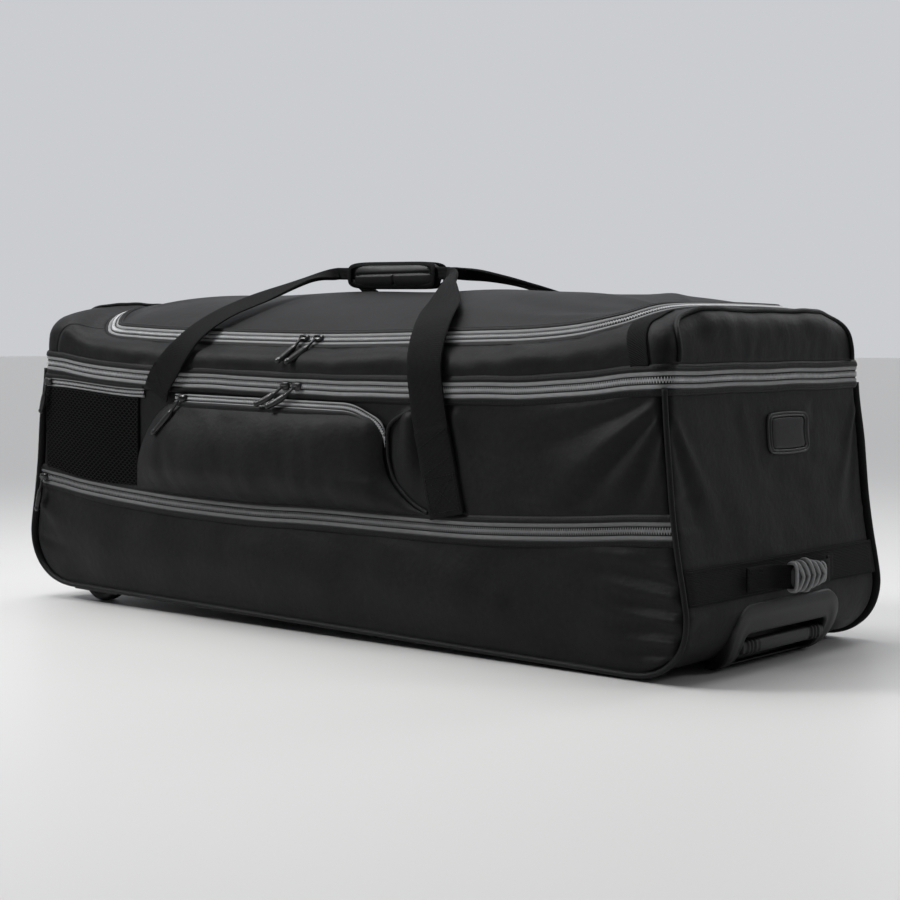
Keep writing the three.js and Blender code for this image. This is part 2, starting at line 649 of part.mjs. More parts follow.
// Piping along the edges of the front and back panels
function bodyPiping(side) {
  const points = [];
  const offset = PIPING_RADIUS * 0.72 + GAP;
  const heights = [268, 230, 190, 150, 115, 90, 67, 50, 36, 24, 15, 9, 6.5, 5];
  for (const end of [1, -1]) {
    const run = heights.map((z) => {
      const slope = halfLength(z + 0.5) - halfLength(Math.max(z - 0.5, BASE_Z));
      const length = Math.hypot(1, slope);
      const outX = z <= BASE_Z ? 0 : 1 / length;
      const outZ = z <= BASE_Z ? -1 : -slope / length;
      return vec(end * (halfLength(z) + outX * offset), side * (halfWidth(z) + offset), z + outZ * offset);
    });
    points.push(...(end === 1 ? run : run.reverse()));
  }
  return sweep(framesAlong(smooth(points, 46), vec(0, side, 0)), roundSection(PIPING_RADIUS));
}
add('front_piping', bodyPiping(-1), BLACK_WEB);
add('back_piping', bodyPiping(1), BLACK_WEB);

// Piping round each lid end, on the ring surface
const LID_PIPING = [
  { at: 0, v: 0.03 }, { at: 0, v: 0.12 }, { at: 0, v: 0.25 }, { at: 0, v: 0.38 }, { at: 0.04, v: 0.5 },
  { at: 0.2, v: 0.62 }, { at: 0.6, v: 0.69 }, { at: 1.2, v: 0.7 }, { at: 3, v: 0.7 },
  { at: 4.8, v: 0.7 }, { at: 5.4, v: 0.69 }, { at: 5.8, v: 0.62 }, { at: 5.96, v: 0.5 },
  { at: 6, v: 0.38 }, { at: 6, v: 0.25 }, { at: 6, v: 0.12 }, { at: 6, v: 0.03 },
];
function lidPiping(first, end) {
  const points = LID_PIPING.map(({ at, v }) => {
    const here = first + CORNER + at;
    const point = lidRing(here, v, -HALF_BAND);
    const du = lidRing(here + 0.02, v, -HALF_BAND).sub(lidRing(here - 0.02, v, -HALF_BAND));
    const dv = lidRing(here, v + 0.01, -HALF_BAND).sub(lidRing(here, v - 0.01, -HALF_BAND));
    const out = du.cross(dv).normalize();
    if (out.x * end < 0) out.negate();
    return point.addScaledVector(out, PIPING_RADIUS + 0.6);
  });
  return sweep(framesAlong(smooth(points, 34), vec(end, 0, 0)), roundSection(PIPING_RADIUS));
}
add('lid_right_piping', lidPiping(0, 1), BLACK_WEB);
add('lid_left_piping', lidPiping(LEFT_FIRST, -1), BLACK_WEB);

// Webbing strip on the lid's front wall near the tow end
const STRIP = { left: 442, right: 472 };
function ringAt(x, v) {
  let low = RING_COUNT - 2;
  let high = RING_COUNT + CORNER - 0.05;
  for (let i = 0; i < 40; i += 1) {
    const middle = (low + high) / 2;
    if (lidRing(middle, v, -HALF_BAND).x < x) low = middle;
    else high = middle;
  }
  return (low + high) / 2;
}
const stripSheet = (u, v) => {
  const height = 0.12 + 0.6 * v;
  const at = ringAt(STRIP.left + u * (STRIP.right - STRIP.left) - 14 * v, height);
  const point = lidRing(at, height, -HALF_BAND);
  const du = lidRing(at + 0.01, height, -HALF_BAND).sub(lidRing(at - 0.01, height, -HALF_BAND));
  const dv = lidRing(at, height + 0.01, -HALF_BAND).sub(lidRing(at, height - 0.01, -HALF_BAND));
  return point.addScaledVector(du.cross(dv).normalize(), 1.6 + 3 * GAP);
};
add('lid_webbing_strip', cloth(stripSheet, 2, 6, 1.6), BLACK_WEB);

// Front pocket: a bulging panel under its zip
const POCKET_CLOTH = 1.8;
const frontFace = (x, z) => {
  const low = lowerZip(x) + SEAM;
  const high = bodyTop(x);
  const rise = THREE.MathUtils.clamp((z - low) / (high - low), 0, 1);
  const u = THREE.MathUtils.clamp((x + innerHalfLength(z)) / (2 * innerHalfLength(z)), 0, 1);
  return halfWidth(z) + UPPER_SWELL * Math.sin(Math.PI * u) ** 0.7 * swellAt(rise);
};
const POCKET_ROWS = [0, 0.1, 0.22, 0.38, 0.55, 0.72, 0.88, 1];
const POCKET_COLUMNS = [0, 0.02, 0.05, 0.1, 0.18, 0.3, 0.45, 0.6, 0.72, 0.82, 0.9, 0.95, 0.98, 1];
function pocketPoint(u, v) {
  const rise = spread(POCKET_ROWS, v);
  const across = spread(POCKET_COLUMNS, u);
  let x = 0;
  let z = 0;
  for (let i = 0; i < 4; i += 1) {
    const low = lowerZip(x) + LOWER_ZIP_WIDTH / 2 + 0.8;
    z = low + rise * (POCKET_TOP - low);
    const left = lookup(POCKET_EDGES, 'z', z, 'left');
    const right = lookup(POCKET_EDGES, 'z', z, 'right');
    x = left + across * (right - left);
  }
  const side = 1 - Math.abs(2 * across - 1) ** 5;
  const foot = Math.sin((Math.PI / 2) * Math.min(rise / 0.7, 1)) ** 0.8;
  const swell = POCKET_DEPTH * side ** 0.7 * foot;
  return vec(x, -(frontFace(x, z) + 0.6 + POCKET_CLOTH + swell), z);
}
add('front_pocket_panel', cloth(pocketPoint, 13, 7, POCKET_CLOTH), BLACK_CLOTH);

// Front pocket zip: the sloping band that closes the top of the pocket
const pocketZipRun = [];
for (let i = 0; i <= 18; i += 1) {
  const u = 0.02 + 0.96 * (i / 18);
  const edge = pocketPoint(u, 1);
  const wall = -(frontFace(edge.x, POCKET_TOP + 12) + 0.8 + TAPE + CHAIN_RISE);
  const depth = Math.max(wall - edge.y, 4);
  const slope = Math.atan2(9, depth);
  const across = vec(0, Math.cos(slope), Math.sin(slope));
  const out = vec(0, -Math.sin(slope), Math.cos(slope));
  const width = Math.min(POCKET_ZIP_WIDTH, depth / Math.cos(slope));
  const half = width / 2;
  const section = zipBand(width).map(([a, b]) => [Math.max(Math.min(a, half), -half), b]);
  const point = vec(edge.x, edge.y + 0.2, POCKET_TOP + 1).addScaledVector(across, half);
  pocketZipRun.push({ point, out, across, section });
}
add('front_pocket_zip', sweep(pocketZipRun, zipBand(POCKET_ZIP_WIDTH)), GREY_ZIP);

// Piping down the tow side of the front pocket
const pocketPipingPoints = [264, 256, 246, 236, 217, 200, 179, 164, 154, 146].map((z) => {
  const flare = Math.max(z - 240, 0) ** 1.2 * 1.05;
  const x = lookup(POCKET_EDGES, 'z', Math.min(z, 236), 'right') + PIPING_RADIUS + 4.5 + flare;
  return vec(x, -(frontFace(x, z) + PIPING_RADIUS + 0.5), z);
});
add('front_pocket_piping', sweep(framesAlong(smooth(pocketPipingPoints, 26), vec(0, -1, 0)),
  roundSection(PIPING_RADIUS)), BLACK_WEB);

// Mesh pocket and its zip
const MESH_CLOTH_THICK = 1.2;
const MESH_CHAIN = { width: 4.4, rise: 0.9 };
const meshSheet = (u, v) => {
  const x = MESH_LEFT + u * (MESH_RIGHT - MESH_LEFT);
  const low = lowerZip(x) + LOWER_ZIP_WIDTH / 2 + 0.8;
  const z = low + v * (MESH_TOP - low);
  const swell = 3 * Math.sin(Math.PI * u) * Math.sin((Math.PI / 2) * (0.3 + 0.7 * v));
  return vec(x, -(frontFace(x, z) + 0.6 + MESH_CLOTH_THICK + swell), z);
};
add('mesh_pocket_panel', cloth(meshSheet, 6, 4, MESH_CLOTH_THICK), MESH_CLOTH);
const meshZipPoints = Array.from({ length: 9 }, (_, i) => {
  const x = MESH_LEFT + ((-286 - MESH_LEFT) * i) / 8;
  const z = MESH_TOP + 1 + MESH_ZIP_WIDTH / 2;
  return vec(x, -(frontFace(x, z) + 0.9), z);
});
add('mesh_pocket_zip', sweep(framesAlong(meshZipPoints, vec(0, -1, 0)),
  zipBand(MESH_ZIP_WIDTH, MESH_CHAIN.width, MESH_CHAIN.rise)), GREY_ZIP);

// Carry straps: flat webbing whose width narrows where it is folded inside the grip
function carryStrap(side) {
  const path = new THREE.CatmullRomCurve3(STRAP_ROWS.map((row) => vec(row.x, row.y * -side, row.z)));
  const steps = 52;
  const points = [];
  const wanted = [];
  const widths = [];
  for (let i = 0; i <= steps; i += 1) {
    const at = (i / steps) * (STRAP_ROWS.length - 1);
    const k = Math.min(Math.floor(at), STRAP_ROWS.length - 2);
    const t = at - k;
    const a = STRAP_ROWS[k];
    const b = STRAP_ROWS[k + 1];
    points.push(path.getPoint(i / steps));
    const mix = (name) => a[name] + (b[name] - a[name]) * t;
    wanted.push(vec(mix('nx'), mix('ny') * -side, mix('nz')));
    widths.push(mix('width'));
  }
  const frames = framesAlong(points, (i) => wanted[i]);
  frames.forEach((frame, i) => {
    frame.section = flatBand(widths[i], STRAP_THICK).map(([a, b]) => [a, b - STRAP_THICK / 2]);
  });
  return sweep(frames, flatBand(STRAP_ROWS[0].width, STRAP_THICK));
}
add('carry_strap_front', carryStrap(-1), BLACK_WEB);
add('carry_strap_back', carryStrap(1), BLACK_WEB);

// Padded grip: a flattened sleeve round both straps
function roundedOutline(halfA, halfB, radius, steps = 3) {
  const points = [];
  const corners = [[1, -1, -90], [1, 1, 0], [-1, 1, 90], [-1, -1, 180]];
  for (const [sa, sb, from] of corners) {
    for (let i = 0; i <= steps; i += 1) {
      const angle = THREE.MathUtils.degToRad(from + (90 * i) / steps);
      const a = sa * (halfA - radius) + radius * Math.cos(angle);
      points.push([a, sb * (halfB - radius) + radius * Math.sin(angle)]);
    }
  }
  return points;
}
const gripX = [GRIP_CENTRE_X - GRIP_LENGTH / 2, GRIP_CENTRE_X + GRIP_LENGTH / 2];
const gripShell = (grow, extra) => prismX(
  roundedOutline(GRIP_DEPTH / 2 + grow, GRIP_HEIGHT / 2 + grow, Math.max(9 + grow, 3)),
  gripX[0] - extra, gripX[1] + extra,
).translate([0, 0, GRIP_CENTRE_Z]);
add('grip_wrap', fromManifold(gripShell(0, 0).subtract(gripShell(-GRIP_PAD, 1))), BLACK_CLOTH);

// Webbing across the tow end
const endBand = (u, v) => {
  const z = 79 + 36 * v;
  const y = -(halfWidth(z) - 3) + u * 2 * (halfWidth(z) - 3);
  return vec(halfLength(z) + GAP + 1.8, y, z);
};
add('end_webbing', cloth(endBand, 10, 4, 1.8), BLACK_WEB);

// Tow loop and its ribbed grip
const towPoints = smooth(TOW_ROWS.map(({ x, y, z }) => vec(x, y, z)), 30);
add('tow_loop', sweep(framesAlong(towPoints, vec(1, 0, 0)), flatBand(25, STRAP_THICK)
  .map(([a, b]) => [a, b - STRAP_THICK / 2])), BLACK_WEB);
const towEnds = [TOW_GRIP_Y - TOW_GRIP_LENGTH / 2, TOW_GRIP_Y + TOW_GRIP_LENGTH / 2];
const towGrip = prismY(roundedOutline(7, 16, 5), towEnds[0], towEnds[1])
  .subtract(prismY(roundedOutline(2.6, 13.4, 1.2, 2), -60, 90));
const towRibs = [-20, -10, 0, 10, 20].map((shift) => {
  const y = TOW_GRIP_Y + shift;
  return prismY(roundedOutline(8.6, 17.4, 5), y - 2.2, y + 2.2)
    .subtract(prismY(roundedOutline(3.6, 14.4, 1.2, 2), -60, 90));
});
const towBody = towRibs.reduce((whole, rib) => whole.add(rib), towGrip);
add('tow_grip', fromManifold(towBody.translate([TOW_GRIP_X, 0, TOW_GRIP_Z])), GREY_RUBBER);

// Name-card window on the tow end
const CARD = { y: 21, z: 241, halfY: 45, halfZ: 23, thick: 2.6 };
function onEnd(outline, hole, thick, lift) {
  const shape = new THREE.Shape(outline.map(([a, b]) => new THREE.Vector2(a, b)));
  if (hole) shape.holes.push(new THREE.Path(hole.map(([a, b]) => new THREE.Vector2(a, b))));
  const flat = new THREE.ExtrudeGeometry(shape, { depth: thick, bevelEnabled: false });
  const geometry = mergeVertices(flat.deleteAttribute('normal').deleteAttribute('uv'), 1e-4);
  const position = geometry.getAttribute('position');
  const slope = (halfLength(CARD.z + CARD.halfZ) - halfLength(CARD.z - CARD.halfZ)) / (2 * CARD.halfZ);
  for (let i = 0; i < position.count; i += 1) {
    const z = position.getY(i);
    const x = halfLength(CARD.z) + slope * z + lift + position.getZ(i);
    position.setXYZ(i, x, CARD.y + position.getX(i), CARD.z + z);
  }
  return geometry;
}
const CARD_SEAT = 0.7;
const CARD_FACE = 0.9;
const cardRim = roundedOutline(CARD.halfY, CARD.halfZ, 8);
const cardHole = roundedOutline(CARD.halfY - 8, CARD.halfZ - 7, 4);
const cardFace = roundedOutline(CARD.halfY - 8.5, CARD.halfZ - 7.5, 3.6);
add('card_frame', onEnd(cardRim, cardHole, CARD.thick, CARD_SEAT), BLACK_PLASTIC);
add('card_panel', onEnd(cardFace, null, CARD_FACE, CARD_SEAT), BLACK_PLASTIC);

// Moulded tray: a hollow corner piece with a finger recess, and the bar across the recess
const TRAY_PROFILE = [
  [452, 0], [499, 0], [508, 5], [514, 16], [516.5, 34], [516.5, 52], [514.5, TRAY_TOP], [452, TRAY_TOP],
];
const TRAY_HOLLOW = [
  [440, 3.5], [498, 3.5], [505.5, 8], [510.5, 17], [513, 34], [513, 52], [511, 68.5], [440, 68.5],
];
const trayBlock = prismY(TRAY_PROFILE, -120, 120).intersect(prismX(trayOutline(0), 440, 540));
const trayHollow = prismY(TRAY_HOLLOW, -120, 120).intersect(prismX(trayOutline(-TRAY_WALL), 430, 540));
const recessSkin = box(RECESS_X - 3, 540, -RECESS_HALF_WIDTH - 3, RECESS_HALF_WIDTH + 3,
  RECESS_LOW - 3, RECESS_HIGH + 3).intersect(trayBlock);
const recess = box(RECESS_X, 560, -RECESS_HALF_WIDTH, RECESS_HALF_WIDTH, RECESS_LOW, RECESS_HIGH);
const tray = trayBlock.subtract(trayHollow).add(recessSkin).subtract(recess);
add('grab_tray', fromManifold(tray), BLACK_PLASTIC, false);
const barEnd = RECESS_HALF_WIDTH - 0.3;
const bar = prismY(roundedOutline(7.5, 8, 5), -barEnd, barEnd).translate([BAR_X, 0, BAR_Z]);
add('grab_bar', fromManifold(bar), BLACK_PLASTIC, false);

// Wheel housings, axles and wheels
function archOutline(radius, foot) {
  const points = [[-radius, foot]];
  for (let i = 14; i >= 0; i -= 1) {
    const angle = (Math.PI * i) / 14;
    points.push([radius * Math.cos(angle), wheelZ + radius * Math.sin(angle)]);
  }
  points.push([radius, foot]);
  return points.map(([x, z]) => [WHEEL_X + x, z]).reverse();
}
const wheelProfile = [
  [BORE_RADIUS, -WHEEL_WIDTH / 2], [24, -WHEEL_WIDTH / 2], [26, -WHEEL_WIDTH / 2 + 1.5],
  [33, -WHEEL_WIDTH / 2 + 1.5], [WHEEL_RADIUS, -WHEEL_WIDTH / 2 + 5], [WHEEL_RADIUS, WHEEL_WIDTH / 2 - 5],
  [33, WHEEL_WIDTH / 2 - 1.5], [26, WHEEL_WIDTH / 2 - 1.5], [24, WHEEL_WIDTH / 2],
  [BORE_RADIUS, WHEEL_WIDTH / 2], [BORE_RADIUS, -WHEEL_WIDTH / 2],
].map(([r, y]) => new THREE.Vector2(r, y));
const foot = BASE_Z - SKIRT_DROP;
for (const [label, side] of [['front', -1], ['back', 1]]) {
  const y = side * WHEEL_Y;
  const y0 = y - ARCH_HALF_DEPTH;
  const y1 = y + ARCH_HALF_DEPTH;
  const flange = box(WHEEL_X - 52, WHEEL_X + 52, y0 - 8, y1 + 8, BASE_Z - GAP - 3, BASE_Z - GAP);
  const inside = prismY(archOutline(ARCH_RADIUS - ARCH_WALL, foot - 5), y0 + ARCH_WALL, y1 - ARCH_WALL);
  const pin = new THREE.CylinderGeometry(AXLE_RADIUS + 0.3, AXLE_RADIUS + 0.3, 60, 24);
  const pinHole = toManifold(pin.translate(WHEEL_X, y, wheelZ));
  const arch = prismY(archOutline(ARCH_RADIUS, foot), y0, y1);
  const housing = arch.add(flange).subtract(inside).subtract(pinHole);
  add(`wheel_housing_${label}`, fromManifold(housing), BLACK_PLASTIC);
  const axle = new THREE.CylinderGeometry(AXLE_RADIUS, AXLE_RADIUS, 2 * ARCH_HALF_DEPTH + 4, 24);
  add(`axle_${label}`, fromManifold(toManifold(axle.translate(WHEEL_X, y, WHEEL_RADIUS))), STEEL, false);
  const turned = new THREE.LatheGeometry(wheelProfile, 28);
  const wheel = toManifold(turned).translate([WHEEL_X, y, WHEEL_RADIUS]);
  add(`wheel_${label}`, fromManifold(wheel), WHEEL_RUBBER, false);
}

// Zip pulls: a slider block seated on its chain, with a flat tab that hangs along the cloth
const PULL_THICK = 3.4;
const PULL_RIDE = PULL_THICK / 2 + 0.3;
const bandTop = HALF_WIDTH + 0.3 + GAP + TAPE + CHAIN_RISE + PULL_RIDE;
function lidSeat(x) {
  let k = LEFT_LAST;
  while (zipPlan[(k + 1) % RING_COUNT].point.x < x) k += 1;
  const a = zipPlan[k % RING_COUNT];
  const b = zipPlan[(k + 1) % RING_COUNT];
  const point = a.point.clone().lerp(b.point, (x - a.point.x) / (b.point.x - a.point.x));
  const out = vec(0, -a.inward.z, a.inward.y);
  return { point: point.addScaledVector(out, TAPE + CHAIN_RISE - 0.6 + PULL_RIDE), out };
}
const flatSeat = (x, y, z) => ({ point: vec(x, -y, z), out: vec(0, -1, 0) });
const meshSeatZ = MESH_TOP + 1 + MESH_ZIP_WIDTH / 2;
const meshSeatY = frontFace(-461, meshSeatZ) + 0.9 + TAPE + MESH_CHAIN.rise + PULL_RIDE;
const pocketSeat = pocketZipRun[2];
const PULLS = [
  { name: 'main_zip_pull_a', seat: flatSeat(-32, bandTop, mainZip(-32)), dx: -46, dy: -21, dz: -18 },
  { name: 'main_zip_pull_b', seat: flatSeat(-10, bandTop, mainZip(-10)), dx: -45, dy: -23, dz: -20 },
  { name: 'lid_zip_pull_a', seat: lidSeat(-62), dx: -36, dy: -22, dz: -20 },
  { name: 'lid_zip_pull_b', seat: lidSeat(-34), dx: -42, dy: -22, dz: -22 },
  {
    name: 'front_pocket_zip_pull',
    seat: {
      point: pocketSeat.point.clone().addScaledVector(pocketSeat.out, TAPE + CHAIN_RISE + PULL_RIDE + 0.4),
      out: pocketSeat.out,
    },
    dx: -38, dy: -18, dz: -26,
  },
  { name: 'mesh_pocket_zip_pull', seat: flatSeat(-461, meshSeatY, meshSeatZ), dx: -12, dy: -2, dz: -42 },
  { name: 'lower_zip_pull', seat: flatSeat(-486, bandTop, lowerZip(-486)), dx: -9, dy: -5, dz: -46 },
];
for (const { name, seat, dx, dy, dz } of PULLS) {
  const from = seat.point;
  const to = from.clone().add(vec(dx, dy, dz));
  const rows = [
    { reach: 0, width: 9, out: seat.out }, { reach: 0.14, width: 9, out: seat.out },
    { reach: 0.2, width: 4, out: seat.out }, { reach: 0.36, width: 4, out: vec(0, -1, 0.1) },
    { reach: 0.42, width: 7, out: vec(0, -1, 0.1) }, { reach: 1, width: 7, out: vec(0, -1, 0.1) },
  ];
  const points = rows.map(({ reach }) => from.clone().lerp(to, reach));
  const frames = framesAlong(points, (i) => rows[i].out);
  frames.forEach((frame, i) => {
    const band = flatBand(rows[i].width, PULL_THICK);
    frame.section = band.map(([across, out]) => [across, out - PULL_THICK / 2]);
  });
  add(name, sweep(frames, flatBand(9, PULL_THICK)), DARK_METAL);
}

// The frame's origin is on the floor under the middle of the whole bag
const whole = new THREE.Box3().setFromObject(bag);
const middle = whole.getCenter(new THREE.Vector3());
for (const piece of bag.children) piece.position.set(-middle.x, -middle.y, -whole.min.z);

export default bag;
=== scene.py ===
"""Wheeled kit bag: sewn cloth panels, coil zips, piping, webbing, padded grip, moulded handle and wheels."""
import math

import bpy
import numpy as np
from bpy.props import FloatProperty, FloatVectorProperty, PointerProperty
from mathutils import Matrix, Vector


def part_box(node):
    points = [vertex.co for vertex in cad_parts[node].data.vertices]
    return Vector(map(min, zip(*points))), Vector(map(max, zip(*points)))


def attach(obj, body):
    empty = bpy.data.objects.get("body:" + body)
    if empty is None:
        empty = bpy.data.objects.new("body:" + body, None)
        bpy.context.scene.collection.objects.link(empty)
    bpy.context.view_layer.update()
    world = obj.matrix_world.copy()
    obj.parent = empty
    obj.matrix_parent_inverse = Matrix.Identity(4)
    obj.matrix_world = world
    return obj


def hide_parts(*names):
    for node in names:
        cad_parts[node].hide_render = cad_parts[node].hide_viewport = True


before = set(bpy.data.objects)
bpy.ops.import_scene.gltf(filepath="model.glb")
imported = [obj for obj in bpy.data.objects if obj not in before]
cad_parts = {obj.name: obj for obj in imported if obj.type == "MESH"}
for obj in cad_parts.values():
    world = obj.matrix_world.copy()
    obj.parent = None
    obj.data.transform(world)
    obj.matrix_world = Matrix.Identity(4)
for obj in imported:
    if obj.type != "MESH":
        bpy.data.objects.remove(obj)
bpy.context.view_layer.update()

bl_info = {
    "name": "Wheeled kit bag",
    "version": (1, 0, 0),
    "blender": (4, 5, 0),
    "location": "3D View > Sidebar > Kit bag",
    "description": "Builds the cloth, zips, webbing, handles and wheels of a long kit bag on its frame",
    "category": "Add Mesh",
}


# Sizes of the bag in millimetres, in its own frame with the middle of the body over the origin

def rows(names, *lines):
    """A short table: each column name with the array of its values."""
    return dict(zip(names.split(), np.array(lines, float).T))


MM = 0.001
HALF_BASE = 510.0
WHEEL_END_LIFT = 18.0
BASE_Z = 5.0
FLAT_HALF = 445.0
HALF_WIDTH = 196.0
SEAM = 1.0
SEAM_INSET = 2.4
MAIN_ZIP_WIDTH = 19.0
LOWER_ZIP_WIDTH = 20.0
LID_ZIP_WIDTH = 18.0
MESH_ZIP_WIDTH = 11.0
MESH_ZIP_RIGHT = -286.0
LOWER_ZIP_HALF_LENGTH, LOWER_ZIP_TUCK = 498.0, 20.0
ZIP_GAP = 0.5
ZIP_PROUD = 0.7
LID_HALF_LENGTH = 488.0
LID_CORNER = 16.0
LID_ZIP_HALF_LENGTH = 449.0
LID_ZIP_HALF_WIDTH = 171.5
LID_ZIP_CORNER = 82.0
WHEEL_END_SHARE = 0.95
LID_BAND = LID_ZIP_WIDTH / 2 + 0.6
LID_FULLNESS = 4.2
WHEEL_END_FULLNESS = 8.0
DOME_POWER = 2.2
POCKET_DEPTH = 20.0
POCKET_TOP = 251.0
MESH_LEFT = -482.0
MESH_RIGHT = -303.0
MESH_TOP = 254.0
MESH_RISE = 8.0
MESH_SEAM = 8.0
NET_PITCH, NET_WAVE, NET_HEIGHT = 4.0, 6.4, 118.0
SPLIT_Z = 97.0
END_WEBBING_LOW, END_WEBBING_HIGH = 79.0, 115.0
LID_STRIP = {"x": 447.0, "width": 22.0, "lean": 14.0}
STRAP_FOLDED_HALF = 7.5
GRIP_MIDDLE = np.array([-41.0, 0.0, 409.5])
GRIP_HALF = np.array([73.0, 12.5, 18.0])
GRIP_SWELL = np.array([2.0, 2.4, 2.0])
GRIP_VOXEL, GRIP_PUSH, GRIP_CAP = 0.004, 4.0, 0.0026
TOW_MIDDLE = np.array([530.0, 7.0, 95.0])
TOW_HALF_LENGTH = 31.0
TOW_TAPER = 0.26
TOW_PATCH = {"x": 518.9, "y": (-89.0, -64.0), "z": (87.0, 107.0)}
TRAY_HALF_WIDTH = 107.0
RECESS_HALF_WIDTH = 82.0
RECESS_LOW = 2.4
RECESS_HIGH = 39.5
RECESS_X = 472.0
BAR = {"x": 502.5, "z": 25.0, "half_x": 7.5, "half_z": 8.0}
WHEEL = {"x": -412.0, "y": 158.0, "z": 36.0, "width": 24.0}
CARD_Y, CARD_Z = 33.0, 241.0
CARD_HALF_WIDTH, CARD_HALF_HEIGHT = 42.0, 20.5
# Thickness in metres of the sheets that aren't panel cloth
THICKNESS = {"pocket": 0.0015, "mesh": 0.001, "end_webbing": 0.0018, "lid_strip": 0.0016}
END_TOP_X = 487.0
SEAM_GROOVE, SEAM_GROOVE_REACH = 4.6, 4.2
INSIDE = np.array([0.0, 0.0, 180.0])
TO_TOW = np.array([1.0, 0.0, 0.0])
TO_FRONT = np.array([0.0, -1.0, 0.0])

END_PROFILE = rows(
    "z x", (5, 445), (7, 462), (12, 478), (20, 491), (31, 502), (47, 510), (67, 513), (90, 510),
    (126, 503), (165, 497), (205, 493), (245, 489.5), (310, 486))
SIDE_PROFILE = rows("z y", (5, 189), (20, 192), (60, 195.5), (110, HALF_WIDTH), (310, HALF_WIDTH))
LONG_LINES = rows(
    "x main lower lid crest",
    (-520, 296, 146, 367, 368), (-449, 291, 140, 367, 370), (-420, 287, 136.5, 352, 374),
    (-390, 284.5, 134, 339, 377), (-322, 281, 130, 334, 382), (-228, 279, 126.5, 332, 385),
    (-95, 278, 126, 331, 389), (12, 277.5, 129.5, 331.5, 391), (133, 279, 131, 335, 392),
    (232, 281.5, 133, 338.5, 390), (303, 284, 137, 341.5, 387.5), (368, 289, 142, 348, 384.5),
    (410, 293, 146, 358, 381), (449, 298, 150, 372, 377), (520, 303, 155, 372, 376))
POCKET_EDGES = rows(
    "z left right", (136, -300, 192), (141, -300, 190), (154, -299, 158), (179, -295, 129),
    (200, -286, 120), (217, -275, 118), (236, -258, 118), (246, -243, 110), (252, -230, 90))
STRAP_ROWS = rows(
    "x y z nx ny nz width",
    (211, -199.3, 145, 0, -1, 0, 49), (203, -200.0, 180, 0, -1, 0, 49), (195, -200.6, 217, 0, -1, 0, 49),
    (188, -202.2, 250, 0, -1, 0, 49), (184, -204, 284, 0, -1, 0, 49), (182, -204, 306, 0, -1, 0.1, 49),
    (179, -198, 324, 0, -0.9, 0.4, 49), (174, -186, 341, 0, -0.8, 0.6, 49),
    (163, -164, 358, 0, -0.65, 0.75, 49), (140, -122, 378, 0, -0.5, 0.87, 48),
    (108, -75, 398, 0.2, -0.6, 0.8, 44), (78, -34, 408.5, 0.2, -0.9, 0.4, 34),
    (54, -11, 411.5, 0, -1, 0.1, 26), (37, -6.2, 412, 0, -1, 0, 20), (-41, -6.2, 412, 0, -1, 0, 20),
    (-119, -6.2, 412, 0, -1, 0, 20), (-134, -12, 411.5, 0, -1, 0.1, 26),
    (-148, -38, 405.5, -0.1, -0.8, 0.6, 34), (-162, -88, 388, 0, -0.55, 0.84, 40),
    (-186, -138, 366, 0, -0.55, 0.84, 40), (-198, -166, 350, 0, -0.65, 0.76, 39),
    (-207, -187, 333, 0, -0.8, 0.6, 38), (-217, -200, 314, 0, -1, 0.25, 38),
    (-230, -204, 297, 0, -1, 0, 39), (-246, -203.6, 281, 0, -1, 0, 42),
    (-255, -202, 269, 0, -1, 0, 44), (-259, -201.2, 261, 0, -1, 0, 45))
TOW_ROWS = rows(
    "x y z", (515.5, -92, 97), (515.2, -58, 97), (519.5, -40, 96.5), (527.5, -27, 95.5), (530, -16, 95),
    (530, 16, 95), (530, 48, 95), (527.5, 59, 95.5), (519.5, 71, 96.5), (515.5, 84, 97))
TRAY_LINE = rows(
    "x z", (452, 0), (468, 0.1), (481, 2.0), (491, 6), (499.5, 13), (506.5, 24), (511.8, 37), (515.2, 50),
    (516.2, 61), (514.6, 72))

# Soft folds of the walls: each runs from one place to another on its wall, as a ridge or, below 0, a groove
FOLD_COLUMNS = "a0 b0 a1 b1 width height"
UPPER_FOLDS = rows(
    FOLD_COLUMNS,
    (484, 280, 300, 146, 15, 5.2), (484, 274, 352, 142, 12, -4.2), (486, 270, 398, 142, 13, 3.4),
    (486, 264, 440, 146, 10, -2.2), (488, 258, 462, 150, 9, 1.6), (478, 284, 262, 196, 14, -3.4),
    (470, 284, 236, 240, 13, 3.2), (156, 262, 154, 152, 20, 9.0), (170, 256, 176, 152, 8, -6.0),
    (216, 266, 250, 160, 15, 2.6), (300, 168, 470, 156, 10, 2.2))
LOWER_FOLDS = rows(
    FOLD_COLUMNS,
    (508, 20, 420, 13, 5, 3.0), (510, 31, 420, 25, 5, -3.0), (512, 42, 400, 38, 5, 3.2),
    (513, 53, 410, 52, 5, -3.0), (513, 64, 395, 67, 5, 3.2), (512, 75, 410, 80, 5, -2.8),
    (511, 87, 385, 97, 6, 3.0), (510, 100, 395, 113, 6, -2.4), (507, 115, 370, 129, 7, 2.2),
    (500, 132, 330, 118, 9, 2.0), (-508, 116, -425, 66, 14, 3.0), (-506, 62, -415, 50, 10, -2.4),
    (-498, 130, -330, 108, 10, 2.0), (300, 60, 120, 40, 30, 2.6), (-120, 95, -330, 60, 30, -2.4))
LID_FOLDS = rows(
    FOLD_COLUMNS,
    (425, -120, 150, 40, 16, 3.0), (405, -138, 110, -60, 13, -2.4), (440, -80, 260, 110, 16, 2.6),
    (380, -148, 60, -110, 12, 2.2), (-400, -110, -210, 30, 18, 2.6), (-410, -60, -260, 100, 18, -2.2))
